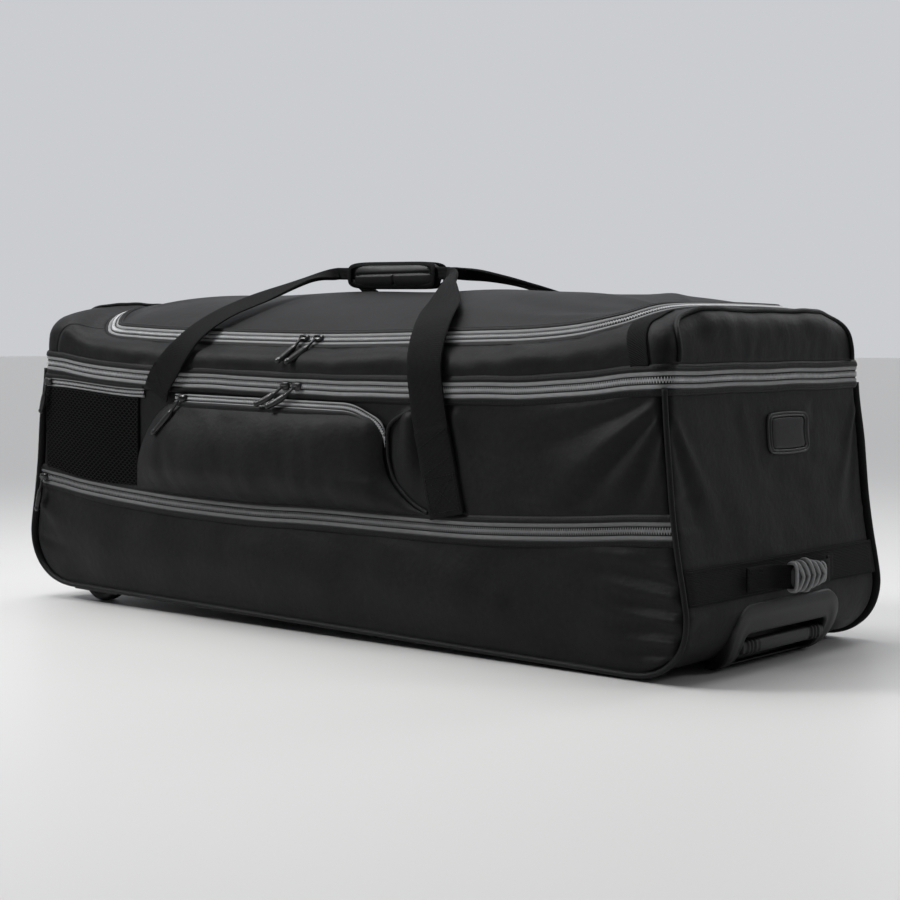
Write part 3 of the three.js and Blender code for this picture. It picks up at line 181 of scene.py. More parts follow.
BACK_FOLDS = rows(
    FOLD_COLUMNS,
    (480, 270, 350, 110, 14, 2.6), (484, 262, 410, 90, 11, -2.0), (-480, 270, -350, 110, 14, 2.6),
    (-484, 262, -410, 90, 11, -2.0), (508, 60, 430, 58, 6, 1.6), (-508, 60, -430, 58, 6, 1.6))
END_FOLDS = rows(
    FOLD_COLUMNS,
    (-190, 272, -96, 120, 12, 3.4), (-188, 264, -140, 118, 9, -2.8), (190, 272, 108, 120, 12, 3.0),
    (188, 264, 146, 118, 9, -2.6), (-194, 150, -120, 144, 6, 1.6), (-194, 180, -130, 186, 6, -1.6),
    (-194, 40, -150, 34, 4, 1.8), (-195, 54, -146, 52, 4, -1.8), (-195, 67, -150, 68, 4, 1.8),
    (194, 150, 130, 144, 6, 1.4), (-60, 276, -20, 180, 16, 1.8), (90, 276, 60, 190, 14, -1.6))


def wheel_middle(node):
    """Middle of a wheel's box in millimetres."""
    low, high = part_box(node)
    return (np.array(low) + np.array(high)) / 2 / MM


SHIFT = wheel_middle("wheel_front") - np.array([WHEEL["x"], -WHEEL["y"], WHEEL["z"]])


def to_frame(points, tilted=True):
    """Bag millimetres to frame metres; cloth rises evenly towards the wheel end."""
    p = np.array(points, float)
    if tilted:
        p[..., 2] += WHEEL_END_LIFT * (HALF_BASE - p[..., 0]) / (2 * HALF_BASE)
    return (p + SHIFT) * MM


# Curves and surfaces

def hermite(keys, values, at):
    """Smooth reading of a row of values: a cubic between keys, with slopes from the keys on both sides."""
    at = np.asarray(at, float)
    i = np.searchsorted(keys[1:-1], at, side="left")
    before, after = np.maximum(i - 1, 0), np.minimum(i + 2, len(keys) - 1)
    step = keys[i + 1] - keys[i]
    t = np.clip((at - keys[i]) / step, 0, 1)
    slope_a = (values[i + 1] - values[before]) / np.maximum(keys[i + 1] - keys[before], 1e-6)
    slope_b = (values[after] - values[i]) / np.maximum(keys[after] - keys[i], 1e-6)
    t2, t3 = t * t, t * t * t
    return ((2 * t3 - 3 * t2 + 1) * values[i] + (t3 - 2 * t2 + t) * step * slope_a
            + (3 * t2 - 2 * t3) * values[i + 1] + (t3 - t2) * step * slope_b)


def reader(table, key, column):
    """Function that reads one column of a table smoothly against another."""
    return lambda at: hermite(table[key], table[column], at)


main_line, lower_line, lid_line, crest_line = (
    reader(LONG_LINES, "x", line) for line in ("main", "lower", "lid", "crest"))
half_length, half_width = reader(END_PROFILE, "z", "x"), reader(SIDE_PROFILE, "z", "y")
pocket_left, pocket_right = reader(POCKET_EDGES, "z", "left"), reader(POCKET_EDGES, "z", "right")


def body_top(x):
    """Height at which the body walls stop, just under the main zip's band."""
    return main_line(x) - MAIN_ZIP_WIDTH / 2 - ZIP_GAP


def over_lower_zip(x):
    """Height just above the lower zip's band, where the pockets start."""
    return lower_line(x) + LOWER_ZIP_WIDTH / 2 + 0.8


def ease(t):
    """Smooth step from 0 to 1."""
    t = np.clip(t, 0, 1)
    return t * t * (3 - 2 * t)


def unit(v):
    return v / np.maximum(np.linalg.norm(v, axis=-1, keepdims=True), 1e-9)


def stack(*columns):
    return np.stack(np.broadcast_arrays(*columns), -1)


def waves(a, b, length, seed):
    """Gentle unevenness: the mean of five sine waves of nearby lengths in scattered directions."""
    rng = np.random.default_rng(seed)
    turn = rng.uniform(0, 2 * np.pi, 5)
    size = length * rng.uniform(0.7, 1.6, 5)
    start = rng.uniform(0, 2 * np.pi, 5)
    total = 0
    for k in range(5):
        total = total + np.sin(2 * np.pi * (a * np.cos(turn[k]) + b * np.sin(turn[k])) / size[k] + start[k])
    return total / 5


def uneven(a, b, length, seed, fade):
    """Height of the cloth's gentle waves, dying out at the seams."""
    return sizes().unevenness / MM * waves(a, b, length, seed) * fade


def folds(a, b, table):
    """Sum of soft ridges: a bell across each line that widens along it, rising fast and dying slowly."""
    total = np.zeros(np.broadcast(a, b).shape)
    for a0, b0, a1, b1, width, height in zip(*table.values()):
        da, db = a1 - a0, b1 - b0
        long = math.hypot(da, db)
        t = ((a - a0) * da + (b - b0) * db) / long ** 2
        off = ((a - a0) * db - (b - b0) * da) / long
        wide = width * (0.45 + 0.9 * np.clip(t, 0, 1))
        along = ease(t / 0.12) * ease((1 - t) / 0.7)
        total += height * np.exp(-((off / wide) ** 2)) * along
    return total


def lengths(points, axis=0):
    """Distance along a row of points, or along one direction of a grid of points."""
    step = np.linalg.norm(np.diff(points, axis=axis), axis=-1)
    return np.concatenate([0 * step.take([0], axis), np.cumsum(step, axis)], axis)


def read_points(at, s, points):
    """Points read at given distances, where s is the distance of each point of a row."""
    return stack(*[np.interp(at, s, points[:, k]) for k in range(3)])


def spline(points, count):
    """Even points on a smooth path: a cubic through the given points against the distance along them."""
    p = np.asarray(points, float)
    s = lengths(p)
    fine = np.linspace(0, s[-1], 24 * len(p))
    q = stack(*[hermite(s, p[:, k], fine) for k in range(3)])
    t = lengths(q)
    return read_points(np.linspace(0, t[-1], count), t, q)


def frames_along(points, wanted, closed=False):
    """Frames on a path: out is the wanted direction made square to the path, across is path times out."""
    p = np.asarray(points, float)
    if closed:
        tangent = unit(np.roll(p, -1, 0) - np.roll(p, 1, 0))
    else:
        tangent = unit(np.gradient(p, axis=0))
    want = np.broadcast_to(np.asarray(wanted, float), p.shape)
    out = unit(want - tangent * np.sum(want * tangent, -1, keepdims=True))
    return {"point": p, "out": out, "across": np.cross(tangent, out)}


def looped(values, closed):
    """A row of values, with the first one again at its end where the path closes."""
    return np.concatenate([values, values[:1]]) if closed else values


def spots(frames, where, closed=False):
    """Frames read at given distances along the path, with the path's own direction as along."""
    s = lengths(looped(frames["point"], closed))
    point, across, out = (
        read_points(where, s, looped(frames[key], closed)) for key in ("point", "across", "out"))
    across, out = unit(across), unit(out)
    return {"point": point, "across": across, "out": out, "along": unit(np.cross(out, across))}


def path_length(frames, closed=False):
    return lengths(looped(frames["point"], closed))[-1]


def sweep(frames, section):
    """Section carried along a path: each section point goes its first number across and its second out."""
    sec = np.asarray(section, float)
    if sec.ndim == 2:
        sec = sec[None]
    return (frames["point"][:, None] + frames["across"][:, None] * sec[..., :1]
            + frames["out"][:, None] * sec[..., 1:])


def ring_section(half_a, half_b, count, power=2.0):
    """Closed rounded section: a superellipse, round at power 2 and squarer above it."""
    t = np.linspace(0, 2 * np.pi, count, endpoint=False)
    c, s = np.cos(t), np.sin(t)
    return stack(half_a * np.sign(c) * np.abs(c) ** (2 / power),
                 half_b * np.sign(s) * np.abs(s) ** (2 / power))


def band_section(half, thick, edge=0.9, count=9):
    """Flat band with rounded edges: even points over the top and the bottom, with the corners drawn in."""
    a = np.linspace(-half + edge, half - edge, count)
    top = stack(a, np.full(count, thick / 2))
    right = np.array([[half - 0.25 * edge, 0.36 * thick], [half, 0.0], [half - 0.25 * edge, -0.36 * thick]])
    return np.concatenate([top, right, -top, -right])


def normals(grid):
    """Unit normals of a grid from the cross product of its two directions."""
    return unit(np.cross(np.gradient(grid, axis=0), np.gradient(grid, axis=1)))


def plan_at(at, half_x, half_y, radius):
    """Rounded rectangle by a place number from 0 to 60: four round corners with straight sides between."""
    knots = np.array([0, 5, 11, 16, 30, 35, 41, 46, 60.0])
    at = np.mod(np.asarray(at, float), 60)
    part = np.clip(np.searchsorted(knots, at, side="right") - 1, 0, 7)
    t = (at - knots[part]) / (knots[part + 1] - knots[part])
    quarter, straight = part // 2, part % 2 == 1
    x0, y0 = half_x - radius, half_y - radius
    sign_x, sign_y = np.array([1, 1, -1, -1, 1.0]), np.array([-1, 1, 1, -1, -1.0])
    angle = np.pi / 2 * (quarter - 1 + np.where(straight, 1, t))
    move = np.where(straight, t, 0)
    cx = x0 * (sign_x[quarter] + move * (sign_x[quarter + 1] - sign_x[quarter]))
    cy = y0 * (sign_y[quarter] + move * (sign_y[quarter + 1] - sign_y[quarter]))
    out_x, out_y = np.cos(angle), np.sin(angle)
    return cx + radius * out_x, cy + radius * out_y, out_x, out_y


def lid_zip_at(at):
    """Lid zip line by place: its point, its outward direction and the slope of its band, steep in front."""
    x, y, out_x, out_y = plan_at(at, LID_ZIP_HALF_LENGTH, LID_ZIP_HALF_WIDTH, LID_ZIP_CORNER)
    x = np.where(x < 0, x * WHEEL_END_SHARE, x)
    ends = np.abs(out_x)
    slope = np.radians(50 - 36 * ends ** 1.5)
    inward = stack(-out_x * np.cos(slope), -out_y * np.cos(slope), np.sin(slope))
    line = lid_line(x)
    rise = (crest_line(x) - line) * ends ** 4 * (1 - (y / LID_ZIP_HALF_WIDTH) ** 2)
    return stack(x, y, line + 0.6 * rise), stack(out_x, out_y, 0), inward


def lid_foot(at):
    """Foot of the lid wall: straight below the lid zip on four sides, and round each corner by distance."""
    point, out, _ = lid_zip_at(at)
    zip_x, zip_y, out_x, out_y = point[..., 0], point[..., 1], out[..., 0], out[..., 1]
    turn = np.arctan2(np.abs(out_x), np.abs(out_y)) / (np.pi / 2)
    start_x = (LID_ZIP_HALF_LENGTH - LID_ZIP_CORNER) * np.where(zip_x < 0, WHEEL_END_SHARE, 1)
    start_y = LID_ZIP_HALF_WIDTH - LID_ZIP_CORNER
    along_side = LID_HALF_LENGTH - LID_CORNER - start_x
    along_end = HALF_WIDTH - LID_CORNER - start_y
    round_it = LID_CORNER * np.pi / 2
    s = turn * (along_side + round_it + along_end)
    angle = np.clip((s - along_side) / LID_CORNER, 0, np.pi / 2)
    x = start_x + np.minimum(s, along_side) + LID_CORNER * np.sin(angle)
    y = HALF_WIDTH - LID_CORNER + LID_CORNER * np.cos(angle) - np.maximum(s - along_side - round_it, 0)
    x = np.where(turn < 1e-6, zip_x, np.sign(zip_x) * x)
    y = np.where(turn > 1 - 1e-6, zip_y, np.sign(zip_y) * y)
    return stack(x, y, main_line(x) + MAIN_ZIP_WIDTH / 2 + ZIP_GAP), np.abs(out_x)


def lid_ring(at, v):
    """Lid wall from the main zip up over its shoulder: a squarish quarter curve from foot to lid zip."""
    foot, ends = lid_foot(at)
    point, _, inward = lid_zip_at(at)
    edge = point - inward * LID_BAND
    wheel_end = ends * (point[..., 0] < 0)
    power = 2 / (2 + 1.4 * ends + 1.6 * wheel_end)
    stop = np.radians(58 + 26 * ends)
    angle = v * stop
    inset = (1 - np.cos(angle) ** power) / (1 - np.cos(stop) ** power)
    rise = np.sin(angle) ** power / np.sin(stop) ** power
    return foot + (edge - foot) * stack(inset, inset, rise)


def lid_skin(at, v):
    """Lid wall with its fullness, waves and gathers, and the direction out of it."""
    grid = lid_ring(at, v)
    du = lid_ring(at + 0.02, v) - lid_ring(at - 0.02, v)
    dv = lid_ring(at, np.minimum(v + 0.01, 1)) - lid_ring(at, np.maximum(v - 0.01, 0))
    face = unit(np.cross(du, dv))
    face = np.where(np.sum(face * (grid - INSIDE), -1, keepdims=True) < 0, -face, face)
    x, y, z = grid[..., 0], grid[..., 1], grid[..., 2]
    fade = ease(np.minimum(v / 0.25, (1 - v) / 0.2))
    lift = 1.7 * uneven(x + 0.8 * y, 0.8 * y + 1.5 * z, 100, 41, fade)
    lift = lift + 0.5 * uneven(x + y, y + 1.2 * z, 42, 46, fade)
    at_seams = np.exp(-((v / 0.16) ** 2)) + np.exp(-(((1 - v) / 0.16) ** 2))
    gather = 0.55 * waves(x + y, x - y, 26, 47) * at_seams * ease(np.minimum(v, 1 - v) / 0.05)
    full = LID_FULLNESS * np.sin(np.pi * v) ** 1.6
    wheel_end = WHEEL_END_FULLNESS * ease((-400 - x) / 50) * np.sin(np.pi * v ** 1.5) ** 2
    return grid + face * (lift + gather + full + wheel_end)[..., None], face


def dome_at(at, across):
    """Lid top: each chord runs front to back between the zip's edges and rises as one minus a power."""
    point, _, inward = lid_zip_at(at)
    rim = point + inward * (LID_BAND + 0.3)
    crest = crest_line(rim[..., 0])
    lift = np.maximum(crest - rim[..., 2], 2) * (1 - np.abs(across) ** DOME_POWER)
    return stack(rim[..., 0], -across * rim[..., 1], rim[..., 2] + lift)


def corner_radius(x, z):
    """Upright corners are tight at the piping and rounder just under the main zip."""
    return 3 + 10 * ease((z - body_top(x) + 70) / 70)


def swell_over(rise):
    """Swell over the height of a wall, with flat margins for the seams."""
    return np.sin(np.pi * np.clip((rise - 0.1) / 0.78, 0, 1))


def round_off(place, edge, radius):
    """Rounded edge of a wall: the place drawn in round the corner, its depth there and the seam's groove.

    The corner is an eighth of a circle, and the groove falls off as a power of the distance from the edge.
    """
    away = np.abs(place)
    turn = np.clip((away - edge + radius) / radius, 0, 1) * np.pi / 4
    flat = np.where(turn > 0, edge - radius + radius * np.sin(turn), away)
    groove = SEAM_GROOVE * np.exp(-((np.maximum(edge - away, 0) / SEAM_GROOVE_REACH) ** 1.5))
    return np.sign(place) * flat, radius * (1 - np.cos(turn)), groove


def side_wall(side, low, high, swell, across, rise):
    """Front or back wall: length from the end profile, swelling in the middle, rounded into the corners."""
    x = across * HALF_BASE + 0 * rise
    for _ in range(6):
        z = low(x) + rise * (high(x) - low(x))
        x = across * (half_length(z) - SEAM_INSET)
    drawn, turned, groove = round_off(x, half_length(z) - SEAM_INSET, corner_radius(x, z))
    bulge = swell * np.sin(np.pi * (across + 1) / 2) ** 0.7 * swell_over(rise)
    return stack(drawn, side * (half_width(z) + bulge - groove - turned), z)


def end_line(low, high, count):
    """End profile between two heights at even distances along it."""
    z = low + (high - low) * np.linspace(0, 1, 1500) ** 2.5
    s = lengths(stack(half_length(z), z))
    at = np.linspace(0, s[-1], count)
    return np.interp(at, s, half_length(z)), np.interp(at, s, z)


def end_wall(end, low, high, swell, across, count):
    """End wall: the end profile carried across the bag, swelling in the middle, rounded into the corners."""
    x, z = end_line(low, high, count)
    x, z, across = x[None], z[None], across[:, None]
    edge = half_width(z) - SEAM_INSET
    drawn, turned, groove = round_off(across * edge, edge, corner_radius(end * x, z))
    bulge = swell * np.cos(np.pi / 2 * across) ** 0.8 * ease((z - 30) / 60) * ease((290 - z) / 60)
    out = x + bulge - groove * ease((z - 12) / 20) - turned * ease((z - 8) / 15)
    return stack(end * out, drawn, z)


def front_face(x, z):
    """Depth of the upper front wall at a place."""
    low, high = lower_line(x) + SEAM, body_top(x)
    rise = np.clip((z - low) / (high - low), 0, 1)
    u = np.clip((x + half_length(z)) / (2 * half_length(z)), 0, 1)
    return half_width(z) + 2 * np.sin(np.pi * u) ** 0.7 * swell_over(rise)


def pocket_at(across, rise):
    """Bulging pocket: between its edge lines, deepest in the middle and at the top, thin at the foot."""
    x = np.zeros(np.broadcast(across, rise).shape)
    for _ in range(5):
        low = over_lower_zip(x)
        z = low + rise * (POCKET_TOP - low)
        left, right = pocket_left(z), pocket_right(z)
        x = left + across * (right - left)
    side = 1 - np.abs(2 * across - 1) ** 5
    foot = np.sin(np.pi / 2 * np.minimum(rise / 0.34, 1)) ** 0.8
    top = 1 - 0.7 * np.clip((rise - 0.28) / 0.72, 0, 1) ** 3.2
    swell = 1.15 * POCKET_DEPTH * side ** 0.7 * (foot * top)
    return stack(x, -(front_face(x, z) + 2.4 + swell), z)


# Meshes

def grid_faces(nu, nv, wrap_u=False, wrap_v=False):
    """Corner numbers of a grid's faces, and the same corners in the unrolled grid that a map is laid on."""
    i = np.arange(nu if wrap_u else nu - 1)[:, None]
    j = np.arange(nv if wrap_v else nv - 1)[None, :]
    steps = ((0, 0), (1, 0), (1, 1), (0, 1))
    wide = nv + (1 if wrap_v else 0)
    faces = np.stack([((i + a) % nu) * nv + (j + b) % nv for a, b in steps], -1).reshape(-1, 4)
    laid = np.stack([(i + a) * wide + (j + b) for a, b in steps], -1).reshape(-1, 4)
    return faces, laid


def unrolled(grid, wrap_u=False, wrap_v=False):
    """Map of a grid in metres: distances along both of its directions."""
    grid = looped(grid, wrap_u)
    if wrap_v:
        grid = np.concatenate([grid, grid[:, :1]], 1)
    u, v = lengths(grid, 0), lengths(grid, 1)
    return np.stack([u - u.mean(0, keepdims=True), v - v.mean(1, keepdims=True)], -1).reshape(-1, 2)


def border_fade(grid, reach):
    """0 at a grid's border and 1 from a set distance inside it."""
    u, v = lengths(grid, 0), lengths(grid, 1)
    near = np.minimum(np.minimum(u, u[-1:] - u), np.minimum(v, v[:, -1:] - v))
    return ease(near / reach)


def signed_volume(points, faces):
    p = points[faces]
    split = np.concatenate([p[:, [0, 1, 2]], p[:, [0, 2, 3]]])
    return np.einsum("ij,ij->i", split[:, 0], np.cross(split[:, 1], split[:, 2])).sum()


def new_object(name, data):
    """Object in the scene that holds the given data."""
    thing = bpy.data.objects.new(name, data)
    bpy.context.scene.collection.objects.link(thing)
    return thing


def make(name, points, faces, look, maps=None, rub=None, caps=(), body="bag", nodes=()):
    """Puts points, faces, map, wear and finish into a new mesh object that rides on a body."""
    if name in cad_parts:
        name = f"{name}_{LOOKS[look].name.split()[-1].lower()}"
    mesh = bpy.data.meshes.new(name)
    mesh.from_pydata(points.tolist(), [], faces.tolist() + [list(cap) for cap in caps])
    layer = mesh.uv_layers.new(name="cloth_map")
    if maps is not None:
        corners = np.zeros((len(mesh.loops), 2), np.float32)
        corners[:maps.shape[0] * maps.shape[1]] = maps.reshape(-1, 2)
        layer.data.foreach_set("uv", corners.ravel())
    if rub is not None:
        worn = mesh.attributes.new("rub", "FLOAT", "POINT")
        worn.data.foreach_set("value", np.ascontiguousarray(rub, np.float32).ravel())
    mesh.polygons.foreach_set("use_smooth", np.ones(len(mesh.polygons), bool))
    mesh.materials.append(LOOKS[look])
    mesh.validate()
    mesh.update()
    thing = new_object(name, mesh)
    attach(thing, body)
    if nodes:
        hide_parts(*nodes)
    return thing


def sheet(name, grid, look, thickness, hole=None, **facts):
    """Cloth sheet: a grid of outer-face points, faced away from the bag's inside, thickened behind."""
    nu, nv = grid.shape[:2]
    faces, laid = grid_faces(nu, nv)
    flat = grid.reshape(-1, 3)
    middle = flat[faces].mean(1)
    facing = np.cross(flat[faces[:, 1]] - flat[faces[:, 0]], flat[faces[:, 3]] - flat[faces[:, 0]])
    turned = np.sum(facing * (middle - INSIDE)) < 0
    placed = to_frame(grid)
    maps = unrolled(placed)[laid]
    if hole is not None:
        keep = ~hole(middle)
        faces, maps = faces[keep], maps[keep]
    if turned:
        faces, maps = faces[:, ::-1], maps[:, ::-1]
    u = np.minimum(np.arange(nu), np.arange(nu)[::-1])[:, None] * np.ones(nv)
    v = np.minimum(np.arange(nv), np.arange(nv)[::-1])[None, :] * np.ones((nu, 1))
    rub = np.exp(-np.minimum(u, v) / 2.0)
    thing = make(name, placed.reshape(-1, 3), faces, look, maps, rub, **facts)
    wall = thing.modifiers.new("Cloth thickness", "SOLIDIFY")
    wall.thickness = thickness
    wall.offset = -1
    return thing


def panel(name, grid, look="cloth", hole=None):
    """Wall of panel cloth that stands for the CAD panel of the same name."""
    sheet(name, grid, look, sizes().cloth, hole=hole, nodes=[name])


def solid(name, grid, look, closed=False, tilted=True, **facts):
    """Closed piece: rings of section points joined along the path, with flat caps unless the path closes."""
    nu, nv = grid.shape[:2]
    faces, laid = grid_faces(nu, nv, wrap_u=closed, wrap_v=True)
    placed = to_frame(grid, tilted)
    flat = placed.reshape(-1, 3)
    maps = unrolled(placed, closed, True)[laid]
    caps = [] if closed else [np.arange(nv), (nu - 1) * nv + np.arange(nv)[::-1]]
    if signed_volume(flat - flat.mean(0), faces) < 0:
        faces, maps = faces[:, ::-1], maps[:, ::-1]
        caps = [cap[::-1] for cap in caps]
    return make(name, flat, faces, look, maps, caps=caps, **facts)


def rounded_block(stations, count=6, power=3.0):
    """Small closed shape for repeating: stations of along, half across, half out and lift, squarish."""
    sec = ring_section(1, 1, count, power)
    pts = np.concatenate([
        stack(along, sec[:, 0] * across, sec[:, 1] * out + lift) for along, across, out, lift in stations])
    faces, _ = grid_faces(len(stations), count, wrap_v=True)
    last = (len(stations) - 1) * count
    fan = np.array([[0, k, k + 1, k + 2] for k in range(1, count - 1, 2)])
    faces = np.concatenate([faces, fan, fan[:, ::-1] + last])
    if signed_volume(pts - pts.mean(0), faces) < 0:
        faces = faces[:, ::-1]
    return pts, faces


def repeat(name, shape, places, look, tilted=True, **facts):
    """One small shape set at many places: its three numbers go along, across and out of each place."""
    base, base_faces = shape
    pts = (places["point"][:, None] + base[None, :, :1] * places["along"][:, None]
           + base[None, :, 1:2] * places["across"][:, None] + base[None, :, 2:] * places["out"][:, None])
    faces = (base_faces[None] + len(base) * np.arange(len(pts))[:, None, None]).reshape(-1, 4)
    maps = np.tile((base[:, :2] * MM)[base_faces], (len(pts), 1, 1))
    return make(name, to_frame(pts, tilted).reshape(-1, 3), faces, look, maps, **facts)


# Materials

LOOKS = {}
GROUPS = {}
STEEL = ((0.42, 0.43, 0.44), (0.6, 0.6, 0.61))
ZINC = ((0.006, 0.0062, 0.0065), (0.02, 0.02, 0.021))
CARD_COVER = ((0.006, 0.0062, 0.0066), (0.014, 0.0142, 0.0148))
RUBBED_SHARE = 0.25
RUB_GRAIN, RUB_START, RUB_STEEPNESS = 90.0, 0.42, 3.0
DUST_HEIGHT = 0.075


def feed(tree, socket, value):
    """Links a socket to another one, or sets it to a value."""
    if isinstance(value, bpy.types.NodeSocket):
        tree.links.new(value, socket)
    else:
        socket.default_value = value


def add_node(tree, kind, inputs=None, **settings):
    """New node with its settings, and with values or links for some of its inputs."""
    node = tree.nodes.new(kind)
    for key, value in settings.items():
        setattr(node, key, value)
    for key, value in (inputs or {}).items():
        feed(tree, node.inputs[key], value)
    return node


def math_node(tree, operation, *values):
    """Result of a math node on links or numbers."""
    return add_node(tree, "ShaderNodeMath", dict(enumerate(values)), operation=operation).outputs[0]


def noise_node(tree, place, scale, detail=2.0):
    """Noise from 0 to 1 at a place."""
    inputs = {"Vector": place, "Scale": scale, "Detail": detail}
    return add_node(tree, "ShaderNodeTexNoise", inputs).outputs["Fac"]


def split_node(tree, vector):
    """The X, Y and Z of a vector."""
    return add_node(tree, "ShaderNodeSeparateXYZ", {"Vector": vector}).outputs


def new_group(name, inputs, *outputs):
    """Empty shader group: inputs by name with their values, or None for a vector, and float outputs."""
    group = bpy.data.node_groups.new(name, "ShaderNodeTree")
    for label, value in inputs.items():
        kind = "NodeSocketVector" if value is None else "NodeSocketFloat"
        socket = group.interface.new_socket(label, in_out="INPUT", socket_type=kind)
        if value is not None:
            socket.default_value = value
    for label in outputs:
        group.interface.new_socket(label, in_out="OUTPUT", socket_type="NodeSocketFloat")
    return group, group.nodes.new("NodeGroupInput").outputs, group.nodes.new("NodeGroupOutput").inputs


def weave_group():
    """Plain weave height: the product of two sine waves, one along each thread direction."""
    group, given, made = new_group("Plain weave", {"Map": None, "Pitch": 0.001}, "Height")
    split = split_node(group, given["Map"])
    turns = math_node(group, "DIVIDE", 2 * math.pi, given["Pitch"])
    angles = [math_node(group, "MULTIPLY", split[axis], turns) for axis in "XY"]
    both = math_node(group, "MULTIPLY", *[math_node(group, "SINE", angle) for angle in angles])
    group.links.new(math_node(group, "MULTIPLY_ADD", both, 0.5, 0.5), made["Height"])
    return group


def rib_group():
    """Webbing height: round ribs along the band, each crossed by picks that step by half from rib to rib."""
    group, given, made = new_group("Webbing ribs", {"Map": None, "Rib": 0.0016, "Pick": 0.002}, "Height")

    def humps(place):
        wave = math_node(group, "SINE", math_node(group, "MULTIPLY", place, math.pi))
        return math_node(group, "ABSOLUTE", wave)

    split = split_node(group, given["Map"])
    rib = math_node(group, "DIVIDE", split["Y"], given["Rib"])
    step = math_node(group, "MULTIPLY", math_node(group, "FLOOR", rib), 0.5)
    pick = math_node(group, "ADD", math_node(group, "DIVIDE", split["X"], given["Pick"]), step)
    height = math_node(group, "MULTIPLY", humps(rib), math_node(group, "ADD", humps(pick), 0.6))
    group.links.new(height, made["Height"])
    return group


def mottle_group():
    """Uneven tone: broad and fine noise, each from 0 to 1 about a middle of one half."""
    group, given, made = new_group(
        "Uneven tone", {"Place": None, "Broad": 14.0, "Fine": 160.0}, "Broad tone", "Fine tone")
    for size, detail in (("Broad", 3.0), ("Fine", 2.0)):
        group.links.new(noise_node(group, given["Place"], given[size], detail), made[f"{size} tone"])
    return group


def wear_group():
    """Rubbed edges and floor dust: edge closeness broken up by noise, and a haze low down on the bag."""
    group, given, made = new_group("Wear", {"Place": None, "Rub": 0.0}, "Rubbed", "Dust")
    noise = noise_node(group, given["Place"], RUB_GRAIN, 4.0)
    patch = math_node(group, "MULTIPLY", math_node(group, "SUBTRACT", noise, RUB_START), RUB_STEEPNESS)
    patch = math_node(group, "MAXIMUM", patch, 0.0)
    group.links.new(math_node(group, "MULTIPLY", given["Rub"], patch), made["Rubbed"])
    height = split_node(group, given["Place"])["Z"]
    low = math_node(group, "SUBTRACT", 1.0, math_node(group, "DIVIDE", height, DUST_HEIGHT))
    low = math_node(group, "MAXIMUM", low, 0.0)
    group.links.new(math_node(group, "MULTIPLY", low, noise), made["Dust"])
    return group


def crinkle_group():
    """Crinkle height: soft noise at two sizes, as coated cloth shows after folding."""
    group, given, made = new_group("Crinkle", {"Place": None, "Scale": 75.0}, "Height")
    heights = []
    for factor, share in ((1.0, 1.0), (3.3, 0.4)):
        scale = math_node(group, "MULTIPLY", given["Scale"], factor)
        heights.append(math_node(group, "MULTIPLY", noise_node(group, given["Place"], scale, 3.0), share))
    group.links.new(math_node(group, "ADD", *heights), made["Height"])
    return group


def grain_group():
    """Moulded grain height: smoothed distance from the middles of fine cells."""
    group, given, made = new_group("Moulded grain", {"Place": None, "Scale": 1200.0}, "Height")
    inputs = {"Vector": given["Place"], "Scale": given["Scale"]}
    cells = add_node(group, "ShaderNodeTexVoronoi", inputs, feature="SMOOTH_F1")
    group.links.new(cells.outputs["Distance"], made["Height"])
    return group


def fine_group():
    """Fine unevenness of yarn, metal and tread: plain noise."""
    group, given, made = new_group("Fine unevenness", {"Place": None, "Scale": 800.0}, "Height")
    group.links.new(noise_node(group, given["Place"], given["Scale"]), made["Height"])
    return group


def group_node(tree, key, **inputs):
    return add_node(tree, "ShaderNodeGroup", inputs, node_tree=GROUPS[key]).outputs


def finish_look(name, pair, rough, spread, relief, values, depth, crinkle=0.0, sheen=0.0, metal=0.0,
                spec=0.5, dust=0.15):
    """Material whose colour and roughness vary with tone, rub and dust, and whose bump is a group's height.

    pair is the dark and the light shade, and rough the middle of a spread of roughness. relief names the
    group and values its inputs. depth is the size of the bump in metres, and crinkle is how much crinkled
    height is added.
    """
    look = bpy.data.materials.new(name)
    look.use_nodes = True
    tree = look.node_tree
    where = tree.nodes.new("ShaderNodeTexCoord").outputs
    tones = group_node(tree, "tone", Place=where["Object"])
    edge = add_node(tree, "ShaderNodeAttribute", attribute_name="rub").outputs["Fac"]
    wear = group_node(tree, "wear", Place=where["Object"], Rub=edge)
    amount = math_node(tree, "MULTIPLY", tones["Broad tone"], tones["Fine tone"])
    amount = math_node(tree, "MULTIPLY", amount, 2.0)
    amount = math_node(tree, "ADD", amount, math_node(tree, "MULTIPLY", wear["Rubbed"], RUBBED_SHARE))
    amount = math_node(tree, "ADD", amount, math_node(tree, "MULTIPLY", wear["Dust"], dust))
    dark, light = ((*shade, 1) for shade in pair)
    mix = add_node(tree, "ShaderNodeMix", {0: amount, 6: dark, 7: light}, data_type="RGBA")
    gloss = math_node(tree, "MULTIPLY_ADD", tones["Broad tone"], spread, rough - spread / 2)
    place = {"Map": where["UV"]} if relief in ("weave", "rib") else {"Place": where["Object"]}
    height = group_node(tree, relief, **place, **values)["Height"]
    if crinkle:
        creased = group_node(tree, "crinkle", Place=where["Object"])["Height"]
        height = math_node(tree, "ADD", height, math_node(tree, "MULTIPLY", creased, crinkle))
    bump = add_node(tree, "ShaderNodeBump", {"Strength": 1.0, "Distance": depth, "Height": height})
    inputs = {
        "Base Color": mix.outputs[2], "Roughness": gloss, "Normal": bump.outputs["Normal"],
        "Specular IOR Level": spec, "Sheen Weight": sheen, "Sheen Roughness": 0.45, "Metallic": metal,
    }
    for key, value in inputs.items():
        feed(tree, tree.nodes["Principled BSDF"].inputs[key], value)
    return look


def colour_property(name, description, default):
    return FloatVectorProperty(
        name=name, description=description, subtype="COLOR", default=default, min=0, max=1)


